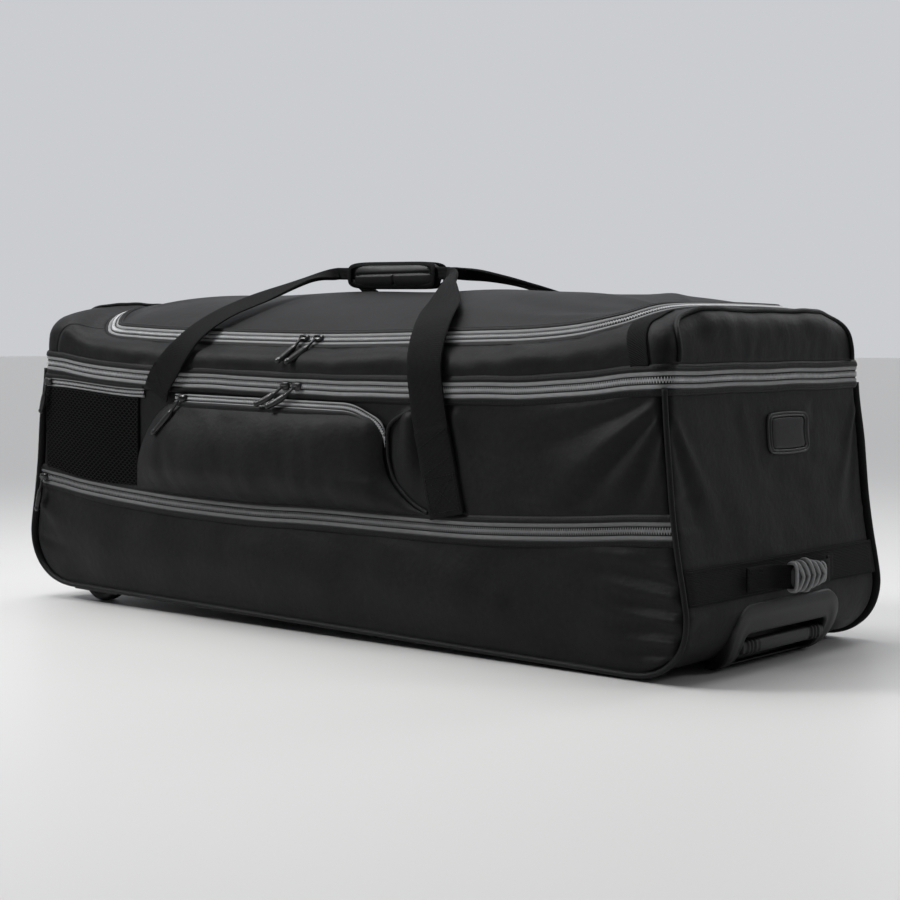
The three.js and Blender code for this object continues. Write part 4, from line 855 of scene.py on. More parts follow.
def length_property(name, description, default, low, high):
    return FloatProperty(
        name=name, description=description, default=default, min=low, max=high, unit="LENGTH")


class KitBagColours(bpy.types.PropertyGroup):
    """Colours of the bag's cloth and trim."""

    cloth: colour_property("Cloth", "Coated black panel cloth", (0.0046, 0.0047, 0.005))
    webbing: colour_property("Webbing", "Black webbing of straps and bands", (0.0036, 0.0037, 0.0039))
    tape: colour_property("Zip tape", "Grey woven tape beside the teeth", (0.2, 0.203, 0.206))
    coil: colour_property("Zip coil", "Grey nylon teeth", (0.38, 0.384, 0.39))
    rubber: colour_property("Tow grip", "Grey rubber of the tow grip", (0.2, 0.202, 0.205))
    plastic: colour_property("Moulding", "Black moulded plastic", (0.0085, 0.0087, 0.0091))
    floor: colour_property("Floor", "Pale studio floor", (0.64, 0.636, 0.628))


class KitBagSizes(bpy.types.PropertyGroup):
    """Sizes of the bag's cloth and trim."""

    cloth: length_property("Cloth", "Thickness of the panel cloth", 0.0018, 0.0005, 0.004)
    webbing: length_property("Webbing", "Thickness of the webbing", 0.002, 0.001, 0.004)
    piping: length_property("Piping", "Radius of the corded piping", 0.0029, 0.001, 0.005)
    tooth_pitch: length_property("Tooth pitch", "Distance between teeth of one side", 0.0029, 0.001, 0.006)
    stitch: length_property("Stitch", "Distance from stitch to stitch", 0.0038, 0.002, 0.01)
    unevenness: length_property("Unevenness", "Height of the gentle waves in the cloth", 0.0017, 0, 0.006)


def sizes():
    return bpy.context.scene.kit_bag_sizes


def colours():
    return bpy.context.scene.kit_bag_colours


def shades(colour, dark, light):
    """A colour times two factors: its dark and its light shade."""
    return [[min(channel * factor, 1.0) for channel in colour] for factor in (dark, light)]


class KITBAG_OT_finishes(bpy.types.Operator):
    """Makes the cloth, webbing, zip, rubber, plastic and metal finishes"""

    bl_idname = "kitbag.finishes"
    bl_label = "Make finishes"

    def execute(self, context):
        GROUPS.update(weave=weave_group(), rib=rib_group(), tone=mottle_group(), wear=wear_group(),
                      crinkle=crinkle_group(), grain=grain_group(), fine=fine_group())
        c = colours()
        wide_ribs, tape_ribs = {"Rib": 0.0017, "Pick": 0.0024}, {"Rib": 0.0009, "Pick": 0.0013}
        finishes = (
            ("cloth", "Coated cloth", shades(c.cloth, 1, 2.3), 0.5, 0.2, "weave", {"Pitch": 0.0011}, 0.00006,
             {"crinkle": 9.0, "sheen": 0.015, "spec": 0.13}),
            ("heavy", "Heavy base cloth", shades(c.cloth, 1.1, 2.6), 0.52, 0.14, "weave", {"Pitch": 0.0019},
             0.0002, {"crinkle": 3.5, "sheen": 0.015, "spec": 0.14}),
            ("webbing", "Black webbing", shades(c.webbing, 1, 2.2), 0.72, 0.1, "rib", wide_ribs, 0.00035,
             {"sheen": 0.02, "spec": 0.085}),
            ("grip", "Padded grip cloth", shades(c.cloth, 1.2, 3.0), 0.44, 0.16, "weave", {"Pitch": 0.0014},
             0.00014, {"crinkle": 2.0, "spec": 0.24}),
            ("piping", "Piping cord", shades(c.cloth, 0.9, 2.4), 0.45, 0.12, "weave", {"Pitch": 0.0009},
             0.0001, {"spec": 0.15}),
            ("tape", "Grey zip tape", shades(c.tape, 1, 1.5), 0.7, 0.1, "rib", tape_ribs, 0.00018,
             {"sheen": 0.15, "spec": 0.4}),
            # Painted shade: darker copies of the zip tape and coil, standing in for the shade that the lower
            # zip lies in
            ("low_tape", "Darker zip tape", shades(c.tape, 0.62, 0.9), 0.7, 0.1, "rib", tape_ribs, 0.00018,
             {"sheen": 0.09, "spec": 0.28}),
            ("coil", "Nylon coil", shades(c.coil, 1, 1.7), 0.42, 0.12, "fine", {"Scale": 900.0}, 0.00005, {}),
            ("low_coil", "Darker nylon coil", shades(c.coil, 0.58, 0.95), 0.45, 0.12, "fine",
             {"Scale": 900.0}, 0.00005, {"spec": 0.36}),
            # Painted shadow: the near-black layer under the teeth stands in for the shade in the grooves
            # between tapes and teeth
            ("bed", "Zip chain bed", shades(c.tape, 0.02, 0.05), 0.85, 0.1, "rib", tape_ribs, 0.0001, {}),
            ("mesh", "Mesh yarn", shades(c.webbing, 0.7, 1.6), 0.6, 0.15, "fine", {"Scale": 1200.0}, 0.0001,
             {"spec": 0.16}),
            ("backing", "Mesh backing", shades(c.webbing, 0.3, 0.6), 0.9, 0.1, "weave", {"Pitch": 0.0012},
             0.0001, {"spec": 0.06}),
            ("thread", "Sewing thread", shades(c.webbing, 1.6, 3.2), 0.6, 0.1, "fine", {"Scale": 1500.0},
             0.00005, {"spec": 0.14}),
            ("rubber", "Grey rubber", shades(c.rubber, 1, 1.5), 0.62, 0.12, "grain", {"Scale": 1400.0},
             0.00008, {"spec": 0.4}),
            ("dark_rubber", "Dark rubber", shades(c.rubber, 0.18, 0.34), 0.7, 0.1, "grain", {"Scale": 1400.0},
             0.00008, {"spec": 0.4}),
            ("plastic", "Moulded plastic", shades(c.plastic, 1, 1.8), 0.46, 0.12, "grain", {"Scale": 1100.0},
             0.00009, {"spec": 0.36}),
            ("tyre", "Wheel tread", shades(c.plastic, 0.8, 2.0), 0.66, 0.16, "fine", {"Scale": 500.0}, 0.0001,
             {"dust": 0.6}),
            ("steel", "Axle steel", STEEL, 0.34, 0.1, "fine", {"Scale": 700.0}, 0.00004, {"metal": 1.0}),
            ("zinc", "Dark enamelled zinc", ZINC, 0.3, 0.16, "fine", {"Scale": 600.0}, 0.00004,
             {"spec": 0.42}),
            ("card", "Clear card cover", CARD_COVER, 0.46, 0.06, "fine", {"Scale": 60.0}, 0.0001,
             {"spec": 0.26}),
        )
        for key, *facts, extra in finishes:
            LOOKS[key] = finish_look(*facts, **extra)
        return {"FINISHED"}


CAMERA_LENS = 74.203
CAMERA_PLACE = np.array([1498.494, -1707.542, 340.194])
CAMERA_DOWN, CAMERA_TURN = 3.4004, 40.401
FLOOR_HALF, FLOOR_CUTS = 30.0, 13
LAMP_SPREAD = 70
# Where the room is brightest
BRIGHT_SIDE = (-0.648, 0.762, 0.15)
# Each lamp: name, place, aim, size and power
LAMPS = (
    ("Overhead", (-0.7, -0.4, 3.0), (0, 0, 0.2), 1.5, 6.2),
    ("Front left", (-2.3, -2.1, 2.7), (-0.1, 0, 0.3), 1.0, 13),
    ("Right fill", (3.2, 1.8, 2.4), (0.4, 0, 0.2), 1.0, 2.6),
    ("Back rim", (0.8, 3.2, 2.2), (0, 0, 0.3), 1.8, 3.2),
)


class KITBAG_OT_stage(bpy.types.Operator):
    """Sets the pale floor, the soft lights and the camera at the picture's angle"""

    bl_idname = "kitbag.stage"
    bl_label = "Set the stage"

    def execute(self, context):
        scene = context.scene
        scene.view_settings.view_transform = "Standard"
        camera = bpy.data.cameras.new("camera")
        camera.lens = CAMERA_LENS
        camera.sensor_width = 36
        camera.clip_end = 200
        scene.camera = new_object("camera", camera)
        scene.camera.location = (CAMERA_PLACE + SHIFT) * MM
        scene.camera.rotation_euler = (math.radians(90 - CAMERA_DOWN), 0, math.radians(CAMERA_TURN))

        edge = np.linspace(-FLOOR_HALF, FLOOR_HALF, FLOOR_CUTS)
        points = stack(edge[:, None], edge[None, :], 0.0).reshape(-1, 3)
        floor_mesh = bpy.data.meshes.new("floor")
        floor_mesh.from_pydata(points.tolist(), [], grid_faces(FLOOR_CUTS, FLOOR_CUTS)[0].tolist())
        look = bpy.data.materials.new("Pale floor")
        look.use_nodes = True
        shader = look.node_tree.nodes["Principled BSDF"]
        shader.inputs["Base Color"].default_value = (*colours().floor, 1)
        shader.inputs["Roughness"].default_value = 0.45
        floor_mesh.materials.append(look)
        new_object("floor", floor_mesh)

        world = bpy.data.worlds.new("Studio")
        world.use_nodes = True
        tree = world.node_tree
        where = tree.nodes.new("ShaderNodeTexCoord").outputs["Generated"]
        facing = add_node(tree, "ShaderNodeVectorMath", {0: where, 1: BRIGHT_SIDE}, operation="DOT_PRODUCT")
        bright = add_node(tree, "ShaderNodeMapRange", {
            "Value": facing.outputs["Value"], "From Min": -0.25, "From Max": 0.95,
            "To Min": 0.10, "To Max": 0.63,
        }, interpolation_type="SMOOTHSTEP")
        feed(tree, tree.nodes["Background"].inputs["Strength"], bright.outputs["Result"])
        feed(tree, tree.nodes["Background"].inputs["Color"], (0.94, 0.96, 1.0, 1))
        scene.world = world
        sun = bpy.data.lights.new("Hall light", "SUN")
        sun.energy = 1.35
        sun.angle = math.radians(48)
        new_object("Hall light", sun).rotation_euler = (math.radians(-6), math.radians(-12), 0)
        for name, place, aim, size, power in LAMPS:
            light = bpy.data.lights.new(name, "AREA")
            light.shape = "DISK"
            light.size = size
            light.energy = power
            light.spread = math.radians(LAMP_SPREAD)
            lamp = new_object(name, light)
            lamp.location = place
            lamp.rotation_euler = (Vector(aim) - Vector(place)).to_track_quat("-Z", "Y").to_euler()
        return {"FINISHED"}


# Pieces

def closer_at_ends(count, share):
    """Numbers from -1 to 1, closer together near both ends: a share of a quarter sine wave each way."""
    return np.sin(np.linspace(-1, 1, count) * np.pi / 2 * share) / math.sin(math.pi / 2 * share)


def floor_height(x):
    return np.full(np.shape(x), BASE_Z + 0.4)


class KITBAG_OT_body(bpy.types.Operator):
    """Builds the front, back, end and base walls with their folds"""

    bl_idname = "kitbag.body"
    bl_label = "Build body walls"

    def execute(self, context):
        even, many = np.linspace(0, 1, 34)[None, :], np.linspace(0, 1, 60)[None, :]
        walls = (
            ("front_lower_panel", -1, floor_height, lambda x: lower_line(x) - SEAM, 7, many ** 1.35,
             LOWER_FOLDS, 11, 160),
            ("front_upper_panel", -1, lambda x: lower_line(x) + SEAM, body_top, 2, even,
             UPPER_FOLDS, 12, 240),
            ("back_panel", 1, floor_height, body_top, 4, many ** 1.4, BACK_FOLDS, 13, 150),
        )
        for name, side, low, high, swell, up, ridges, seed, count in walls:
            grid = side_wall(side, low, high, swell, closer_at_ends(count, 0.93)[:, None], up)
            x, z = grid[..., 0], grid[..., 2]
            fade = border_fade(grid, 30)
            lift = 1.3 * uneven(x, z, 130, seed, fade) + 0.45 * uneven(x, z, 46, seed + 50, fade)
            lift = lift + 0.95 * folds(x, z, ridges) * border_fade(grid, 8) * ease(up / 0.16)
            beside_seams = border_fade(grid, 5) * (1 - border_fade(grid, 34))
            lift = lift + 0.5 * waves(x, 0.3 * z, 27, seed + 70) * beside_seams
            grid[..., 1] += side * lift
            panel(name, grid)

        right_top, left_top = float(body_top(END_TOP_X)), float(body_top(-END_TOP_X))
        ends = (
            ("right_end_panel", 1, SPLIT_Z - 2, right_top, "cloth", 50, 21, None),
            ("right_end_lower_panel", 1, BASE_Z, SPLIT_Z + 2, "heavy", 44, 22, tray_hole),
            ("left_end_panel", -1, BASE_Z, left_top, "cloth", 84, 23, wheel_hole),
        )
        for name, end, low, high, look, count, seed, hole in ends:
            grid = end_wall(end, low, high, 0.6, closer_at_ends(90, 0.9), count)
            y, z = grid[..., 1], grid[..., 2]
            fade = border_fade(grid, 30)
            lift = uneven(y, z, 110, seed, fade) + 0.4 * uneven(y, z, 44, seed + 50, fade)
            lift = lift + 0.75 * folds(y, z, END_FOLDS) * border_fade(grid, 8)
            if end == 1:
                lift = lift * (1 - card_nearness(y, z))
            grid[..., 0] += end * lift
            panel(name, grid, look, hole)

        x = np.linspace(-FLAT_HALF, FLAT_HALF, 120)[:, None]
        y = np.linspace(-1, 1, 50)[None, :] * float(half_width(BASE_Z))
        sag = 0.8 * waves(x, y, 150, 31) * ease((187 - np.abs(y)) / 30)
        panel("base_panel", stack(x, y, BASE_Z - sag), "heavy", wheel_hole)
        return {"FINISHED"}


def card_nearness(y, z):
    """1 behind the name-card window, falling to 0 a little way outside it."""
    return ease((60 - np.abs(y - CARD_Y)) / 16) * ease((40 - np.abs(z - CARD_Z)) / 16)


def tray_hole(middle):
    """Faces behind the moulded tray."""
    return (np.abs(middle[:, 1]) < TRAY_HALF_WIDTH - 9) & (middle[:, 2] < 63) & (middle[:, 0] > 456)


def wheel_hole(middle):
    """Faces inside the wheel arches."""
    return ((np.abs(middle[:, 0] - WHEEL["x"]) < 41) & (np.abs(np.abs(middle[:, 1]) - WHEEL["y"]) < 16)
            & (middle[:, 2] < 30))


class KITBAG_OT_lid(bpy.types.Operator):
    """Builds the lid's end, front and back walls, its hinge strip and its domed top"""

    bl_idname = "kitbag.lid"
    bl_label = "Build lid"

    def execute(self, context):
        parts = (
            ("lid_right_end", 2.3, 13.7, 130), ("lid_back_wall", 13.7, 32.3, 190),
            ("lid_left_end", 32.3, 43.7, 130), ("lid_front_wall", 43.7, 62.3, 190),
        )
        v = np.linspace(0, 1, 26)[None, :]
        for name, start, stop, count in parts:
            panel(name, lid_skin(np.linspace(start, stop, count)[:, None], v)[0])

        grid = dome_at(np.linspace(41, 65, 130)[:, None], np.linspace(-1, 1, 60)[None, :])
        x, y = grid[..., 0], grid[..., 1]
        waved = 1.6 * uneven(x, y, 170, 45, border_fade(grid, 45))
        grid[..., 2] += waved + folds(x, y, LID_FOLDS) * border_fade(grid, 14)
        panel("lid_top_panel", grid)

        frames = lid_band(np.linspace(11.4, 34.6, 120))
        solid("lid_hinge_strip", sweep(frames, band_section(LID_ZIP_WIDTH / 2 + 1, 2.0)), "cloth",
              nodes=["lid_hinge_strip"])
        return {"FINISHED"}


def lid_band(at):
    """Frames of the band between lid wall and lid top: across runs up its slope."""
    point, out, inward = lid_zip_at(at)
    along = stack(-out[:, 1], out[:, 0], 0)
    lift = unit(np.cross(along, inward))
    lift = np.where(lift[:, 2:] < 0, -lift, lift)
    return {"point": point - 0.6 * lift, "out": lift, "across": inward}


def main_ring(count=480):
    """Frames of the main zip: a level band right round the bag."""
    at = np.linspace(0, 60, count, endpoint=False)
    x, y, out_x, out_y = plan_at(at, LID_HALF_LENGTH + 0.4, HALF_WIDTH + ZIP_PROUD, LID_CORNER)
    sway = 0.9 * waves(x + y, x - y, 120, 61)
    return {"point": stack(x, y, main_line(x) + sway), "out": stack(out_x, out_y, 0),
            "across": np.tile([0.0, 0, 1], (count, 1))}


def lower_run():
    """Frames of the lower zip along the front."""
    x = np.linspace(-LOWER_ZIP_HALF_LENGTH, LOWER_ZIP_HALF_LENGTH, 260)
    tucked = 2.6 * ease((np.abs(x) - (LOWER_ZIP_HALF_LENGTH - LOWER_ZIP_TUCK)) / LOWER_ZIP_TUCK)
    return frames_along(stack(x, -(HALF_WIDTH + ZIP_PROUD - tucked), lower_line(x)), TO_FRONT)


def pocket_zip_run(count=170):
    """Frames and half widths of the pocket's zip: a band from the pocket's edge to the wall.

    It runs along the pocket's top and then turns down its tow side.
    """
    edge_top = pocket_at(np.linspace(0.015, 0.935, 90), np.ones(90))
    x = edge_top[:, 0]
    wall_top = stack(x, -(front_face(x, POCKET_TOP + 12.0) + 3.2), POCKET_TOP + 10.5)
    edge_side = pocket_at(np.full(40, 0.974), np.linspace(0.9, 0.66, 40))
    z = edge_side[:, 2]
    x = pocket_right(z) + 4.5
    wall_side = stack(x, -(front_face(x, z) + 2.2), z + 2)
    under = stack(pocket_right(z) + 6, -(front_face(x, z) - 1.5), z - 4)
    down = np.linspace(0, 1, 40)[:, None]
    wall_side = edge_side + (wall_side - edge_side) * np.linspace(1, 0.5, 40)[:, None]
    edge_side = edge_side + (under - edge_side) * ease((down - 0.02) / 0.6)
    wall_side = wall_side + (under - wall_side) * 0.9 * ease((down - 0.45) / 0.55)
    edge, wall = np.concatenate([edge_top, edge_side]), np.concatenate([wall_top, wall_side])
    s = lengths((edge + wall) / 2)

    def smooth(values):
        read = read_points(np.linspace(0, s[-1], count), s, values)
        padded = np.concatenate([np.repeat(read[:1], 6, 0), read, np.repeat(read[-1:], 6, 0)])
        return sum(padded[k:k + count] for k in range(13)) / 13

    edge, wall = smooth(edge), smooth(wall)
    point = (edge + wall) / 2
    across = unit(wall - edge)
    out = unit(np.cross(across, np.gradient(point, axis=0)))
    out = np.where(out[:, 1:2] - 0.7 * out[:, 2:] - 0.5 * out[:, :1] > 0, -out, out)
    return {"point": point, "out": out, "across": across}, np.linalg.norm(wall - edge, axis=1) / 2


def mesh_top(x):
    """Height of the mesh pocket's upper edge, which rises towards the wheel end beside the main zip."""
    return MESH_TOP + MESH_RISE * ease((MESH_RIGHT - x) / (MESH_RIGHT - MESH_LEFT))


def mesh_zip_line(x):
    """Height of the middle of the mesh pocket's zip."""
    return mesh_top(x) + 1 + MESH_ZIP_WIDTH / 2


def mesh_zip_run():
    """Frames of the mesh pocket's zip."""
    x = np.linspace(MESH_LEFT, MESH_ZIP_RIGHT, 60)
    z = mesh_zip_line(x)
    return frames_along(stack(x, -(front_face(x, z) + 0.9), z), TO_FRONT)


TAPE_SECTION = rows(
    "t b", (0.0, 0.1), (0.05, 0.9), (0.2, 1.45), (0.42, 1.7), (0.65, 1.65), (0.85, 1.35), (0.97, 0.8),
    (1.0, 0.1), (1.0, -0.6), (0.0, -0.6))
HEM_SECTION = rows(
    "a b", (-1.2, 0.4), (-1.3, 1.3), (-0.7, 2.1), (0.4, 2.45), (1.8, 2.3), (3.2, 1.8), (4.6, 1.2), (5.8, 0.5),
    (6.4, -0.8), (6.0, -2.4), (0.0, -2.4))


def zip_parts(name, frames, half, chain, closed=False, hems=(True, True), stitched=True, shade=""):
    """A coil zip: two puffed tapes, painted shadow under the teeth, rows of interleaved teeth, and stitched
    cloth hems.
    """
    half = np.broadcast_to(np.asarray(half, float), (len(frames["point"]),))
    inner = chain / 2 + 1.2
    long = path_length(frames, closed)
    for sign, label, hemmed in ((1, "upper", hems[0]), (-1, "lower", hems[1])):
        a = inner + TAPE_SECTION["t"] * np.maximum(half - inner, 0.6)[:, None]
        section = stack(sign * a, TAPE_SECTION["b"])
        # With shade set, tape and teeth take darker copies of their finishes: painted shade
        solid(f"{name}_tape_{label}", sweep(frames, section), shade + "tape", closed,
              nodes=[name] if sign == 1 else ())
        if hemmed:
            hem = stack(sign * (half[:, None] + HEM_SECTION["a"]), HEM_SECTION["b"])
            solid(f"{name}_hem_{label}", sweep(frames, hem), "cloth", closed)
        if hemmed and stitched:
            where = np.arange(2.0, long - 2.0, sizes().stitch / MM)
            places = spots(frames, where, closed)
            local = np.interp(where, lengths(frames["point"]), half)
            places["point"] = (places["point"] + places["across"] * (sign * (local + 3.6))[:, None]
                               + places["out"] * 1.68)
            repeat(f"{name}_stitches_{label}", stitch_shape(), places, "thread")
    # Near-black layer under the teeth: painted shadow between the tapes and the teeth
    solid(f"{name}_bed", sweep(frames, band_section(inner + 0.4, 0.8, 0.3, 5)), "bed", closed)
    pitch = sizes().tooth_pitch / MM
    where = np.linspace(0, long, 2 * int(long / pitch) + 1)[:-1] + pitch / 4
    places = spots(frames, where, closed)
    side = np.where(np.arange(len(where)) % 2 == 0, 1.0, -1.0)[:, None]
    places["across"] = places["across"] * side
    places["along"] = places["along"] * side
    places["point"] = places["point"] + places["out"] * 0.35
    reach = chain / 2
    points, faces = rounded_block([(-reach * 0.42, 0.42, 0.4, 0.75), (-reach * 0.2, 0.62, 0.62, 0.85),
                                   (reach * 0.7, 0.62, 0.62, 0.8), (reach, 0.45, 0.4, 0.45)], 4, 2.6)
    repeat(f"{name}_teeth", (points[:, [1, 0, 2]], faces[:, ::-1]), places, shade + "coil")


def stitch_shape(long=2.7, wide=0.34):
    """One stitch: a short thread that dips at both ends."""
    half = long / 2
    return rounded_block([
        (-half, wide * 0.7, wide * 0.5, -0.12), (-half * 0.4, wide, wide * 0.8, 0.12),
        (half * 0.4, wide, wide * 0.8, 0.12), (half, wide * 0.7, wide * 0.5, -0.12)], 4, 2.0)


class KITBAG_OT_zips(bpy.types.Operator):
    """Builds the zips: main, lower, lid, front pocket and mesh pocket"""

    bl_idname = "kitbag.zips"
    bl_label = "Build zips"

    def execute(self, context):
        zip_parts("main_zip", main_ring(), MAIN_ZIP_WIDTH / 2, chain=6.2, closed=True)
        # The lower zip takes the darker tape and coil finishes: painted shade
        zip_parts("lower_zip", lower_run(), LOWER_ZIP_WIDTH / 2, chain=7.0, shade="low_")
        zip_parts("lid_zip", lid_band(np.linspace(34.6, 71.4, 380)), LID_ZIP_WIDTH / 2, chain=5.8)
        zip_parts("front_pocket_zip", *pocket_zip_run(), chain=4.4, hems=(False, True))
        zip_parts("mesh_pocket_zip", mesh_zip_run(), MESH_ZIP_WIDTH / 2 + 0.5, chain=4.2,
                  hems=(False, True), stitched=False)
        return {"FINISHED"}


def piping_path(side):
    """Piping of the front or back wall, down one corner, along the base and up the other, and its way out."""
    heights = np.concatenate([np.linspace(292, 60, 30), 5 + 55 * np.linspace(0.98, 0, 26) ** 2.2])
    points, outs = [], []
    for end in (1, -1):
        z = np.minimum(heights, float(body_top(end * END_TOP_X)) + 2)
        slope = half_length(z + 0.5) - half_length(np.maximum(z - 0.5, BASE_Z))
        long = np.hypot(1, slope)
        out_x, out_z = 1 / long, -slope / long
        radius = corner_radius(end * half_length(z), z)
        offset = sizes().piping / MM * 0.4 - 0.293 * (radius - 3)
        x = end * (half_length(z) + out_x * offset)
        run = stack(x, side * (half_width(z) + offset), z + out_z * offset)
        away = stack(end * out_x, float(side), out_z)
        points.append(run[::end])
        outs.append(away[::end])
    points, outs = np.concatenate(points), np.concatenate(outs)
    path = spline(points, 460)
    s, at = lengths(points), lengths(path)
    return path, unit(read_points(at / at[-1], s / s[-1], outs))


def lid_piping_path(first, reach):
    """Arched piping of a lid end, laid on the lid wall from one place to a place a set reach further on."""
    table = rows(
        "at v", (0, 0.03), (0, 0.12), (0, 0.25), (0, 0.38), (0.04, 0.5), (0.2, 0.62), (0.6, 0.69),
        (1.2, 0.7), (3, 0.7), (4.8, 0.7), (5.4, 0.69), (5.8, 0.62), (5.96, 0.5), (6, 0.38), (6, 0.25),
        (6, 0.12), (6, 0.03))
    k = np.arange(len(table["v"]), dtype=float)
    fine = np.linspace(0, k[-1], 120)
    at = first + reach / 6 * hermite(k, table["at"], fine)
    point, out = lid_skin(at, np.clip(hermite(k, table["v"], fine), 0, 1))
    return spline(point + out * 1.3, 200)


def pocket_piping_path():
    """Piping down the tow side of the front pocket."""
    z = np.array([268, 262, 256, 246, 236, 217, 200, 179, 164, 154, 147.0])
    flare = np.maximum(z - 240, 0) ** 1.2 * 1.05
    x = pocket_right(np.minimum(z, 236)) + 7 + flare
    return spline(stack(x, -(front_face(x, z) + 1.7), z), 120)


class KITBAG_OT_piping(bpy.types.Operator):
    """Builds the corded piping on the seams"""

    bl_idname = "kitbag.piping"
    bl_label = "Build piping"

    def execute(self, context):
        radius = sizes().piping / MM
        flanged = ring_section(radius, radius, 12)
        low = flanged[:, 1] < -0.8 * radius
        flanged[low] = stack(1.8 * flanged[low, 0] / radius, np.full(low.sum(), -7.0))
        for name, side in (("front_piping", -1), ("back_piping", 1)):
            solid(name, sweep(frames_along(*piping_path(side)), flanged), "piping", nodes=[name])
        runs = (
            ("lid_right_piping", lid_piping_path(first=3.05, reach=9.9), TO_TOW, 0.9),
            ("lid_left_piping", lid_piping_path(first=34.3, reach=7.4), -TO_TOW, 0.9),
            ("front_pocket_piping", pocket_piping_path(), TO_FRONT, 0.72),
        )
        for name, path, wanted, share in runs:
            section = ring_section(share * radius, share * radius, 10)
            solid(name, sweep(frames_along(path, wanted), section), "piping", nodes=[name])
        return {"FINISHED"}


class KITBAG_OT_pockets(bpy.types.Operator):
    """Builds the bulging front pocket and the mesh pocket with its net"""

    bl_idname = "kitbag.pockets"
    bl_label = "Build pockets"

    def execute(self, context):
        across = (1 - np.cos(np.linspace(0, np.pi, 110)))[:, None] / 2
        grid = pocket_at(across, np.linspace(0, 1, 44)[None, :])
        face = normals(grid)
        face = np.where(face[..., 1:2] > 0, -face, face)
        x, z, fade = grid[..., 0], grid[..., 2], border_fade(grid, 26)
        lift = 1.9 * uneven(x, z, 95, 51, fade) + 0.5 * uneven(x, z, 38, 52, fade)
        grid = grid + face * lift[..., None]
        sheet("front_pocket_panel", grid, "cloth", THICKNESS["pocket"], nodes=["front_pocket_panel"])

        right = MESH_RIGHT + MESH_SEAM
        grid = mesh_sheet(np.linspace(MESH_LEFT, right, 60)[:, None], np.linspace(0, 1, 40)[None, :])
        backing = sheet("mesh_pocket_panel", grid, "backing", THICKNESS["mesh"], nodes=["mesh_pocket_panel"])
        net = make("mesh_pocket_net", *net_strands(right), "mesh")
        return {"FINISHED"}


def net_strands(right):
    """Net over the mesh pocket: upright strands that swing as cosine waves, each against its neighbours."""
    rise = np.linspace(0, 1, 150)
    swing = 0.5 * NET_PITCH * np.cos(2 * np.pi * rise * NET_HEIGHT / NET_WAVE)
    section = ring_section(0.5, 0.32, 4)
    strands = []
    for k in range(int((right - MESH_LEFT) / NET_PITCH)):
        x = MESH_LEFT + 3 + NET_PITCH * k + (swing if k % 2 else -swing)
        line = mesh_sheet(np.clip(x, MESH_LEFT, right), rise) + 0.5 * TO_FRONT
        strands.append(sweep(frames_along(line, TO_FRONT), section).reshape(-1, 3))
    corners = len(strands[0])
    faces, _ = grid_faces(len(rise), 4, wrap_v=True)
    faces = np.concatenate([faces, [[0, 1, 2, 3]], corners - np.array([[1, 2, 3, 4]])])
    if signed_volume(strands[0] - strands[0].mean(0), faces) < 0:
        faces = faces[:, ::-1]
    every = (faces[None] + corners * np.arange(len(strands))[:, None, None]).reshape(-1, 4)
    return to_frame(np.concatenate(strands)), every


def mesh_sheet(x, rise):
    """Mesh pocket: flat on the wall at its foot and sides, standing a little proud in the middle and top."""
    low = over_lower_zip(x)
    z = low + rise * (mesh_top(x) - low)
    u = np.clip((x - MESH_LEFT) / (MESH_RIGHT - MESH_LEFT), 0, 1)
    swell = 3 * np.sin(np.pi * u) * np.sin(np.pi / 2 * (0.3 + 0.7 * rise))
    return stack(x, -(front_face(x, z) + 1.8 + swell), z)


def strap_frames(side, count=420):
    """Frames of a carry strap through its table rows; the back strap mirrors the front one."""
    k = np.arange(len(STRAP_ROWS["x"]), dtype=float)
    at = np.linspace(0, k[-1], count)
    point = stack(*[hermite(k, STRAP_ROWS[c], at) for c in "xyz"])
    want = stack(*[np.interp(at, k, STRAP_ROWS[c]) for c in ("nx", "ny", "nz")])
    flip = np.array([1.0, -side, 1.0])
    frames = frames_along(point * flip, want * flip)
    folded = np.interp(at, [8.6, 10.1, 11, 16, 17.2, 18.4], [0, 1, 1, 1, 1, 0])
    frames["half"] = np.interp(at, k, STRAP_ROWS["width"]) / 2 * (1 - folded) + STRAP_FOLDED_HALF * folded
    doubled = ease((2.7 - at) / 0.06)
    frames["thick"] = sizes().webbing / MM * (1 + 1.6 * folded + 0.9 * doubled)
    return frames


def seam_line(points, outs):
    """Row of stitches along a row of points."""
    frames = frames_along(points, outs)
    spacing = sizes().stitch / MM
    places = spots(frames, np.arange(spacing / 2, path_length(frames), spacing))
    places["across"] = -places["across"]
    return places


def merge_places(runs):
    return {key: np.concatenate([run[key] for run in runs]) for key in ("point", "along", "across", "out")}


def crossed_box(a0, a1, b0, b1):
    """Lines of a stitched box with a cross in it, each as two rows of numbers: four sides, two diagonals."""
    t, still = np.linspace(0, 1, 12), np.ones(12)
    a, b = a0 + (a1 - a0) * t, b0 + (b1 - b0) * t
    sides = [(a0 * still, b), (a1 * still, b), (a, b0 * still), (a, b1 * still)]
    return sides + [(a, b), (a, b1 - (b1 - b0) * t)]


def strap_stitches(frames):
    """Box, cross and bar stitches where a strap is sewn to the wall, on the strap's outer face."""
    s = lengths(frames["point"])
    t = np.linspace(-1, 1, 12)
    lines = crossed_box(6.0, 44.0, -20.0, 20.0) + crossed_box(s[-1] - 6.0, s[-1] - 30.0, -20.0, 20.0)
    lines += [(bar + 8 * t, 22 * t) for bar in (56.0, 86.0)]
    runs = []
    for along, across in lines:
        places = spots(frames, along)
        lift = np.interp(along, s, frames["thick"]) / 2 + 0.12
        points = places["point"] + places["across"] * across[:, None] + places["out"] * lift[:, None]
        middle = int(np.interp(along.mean(), s, np.arange(len(s))))
        runs.append(seam_line(points, frames["out"][middle]))
    return runs


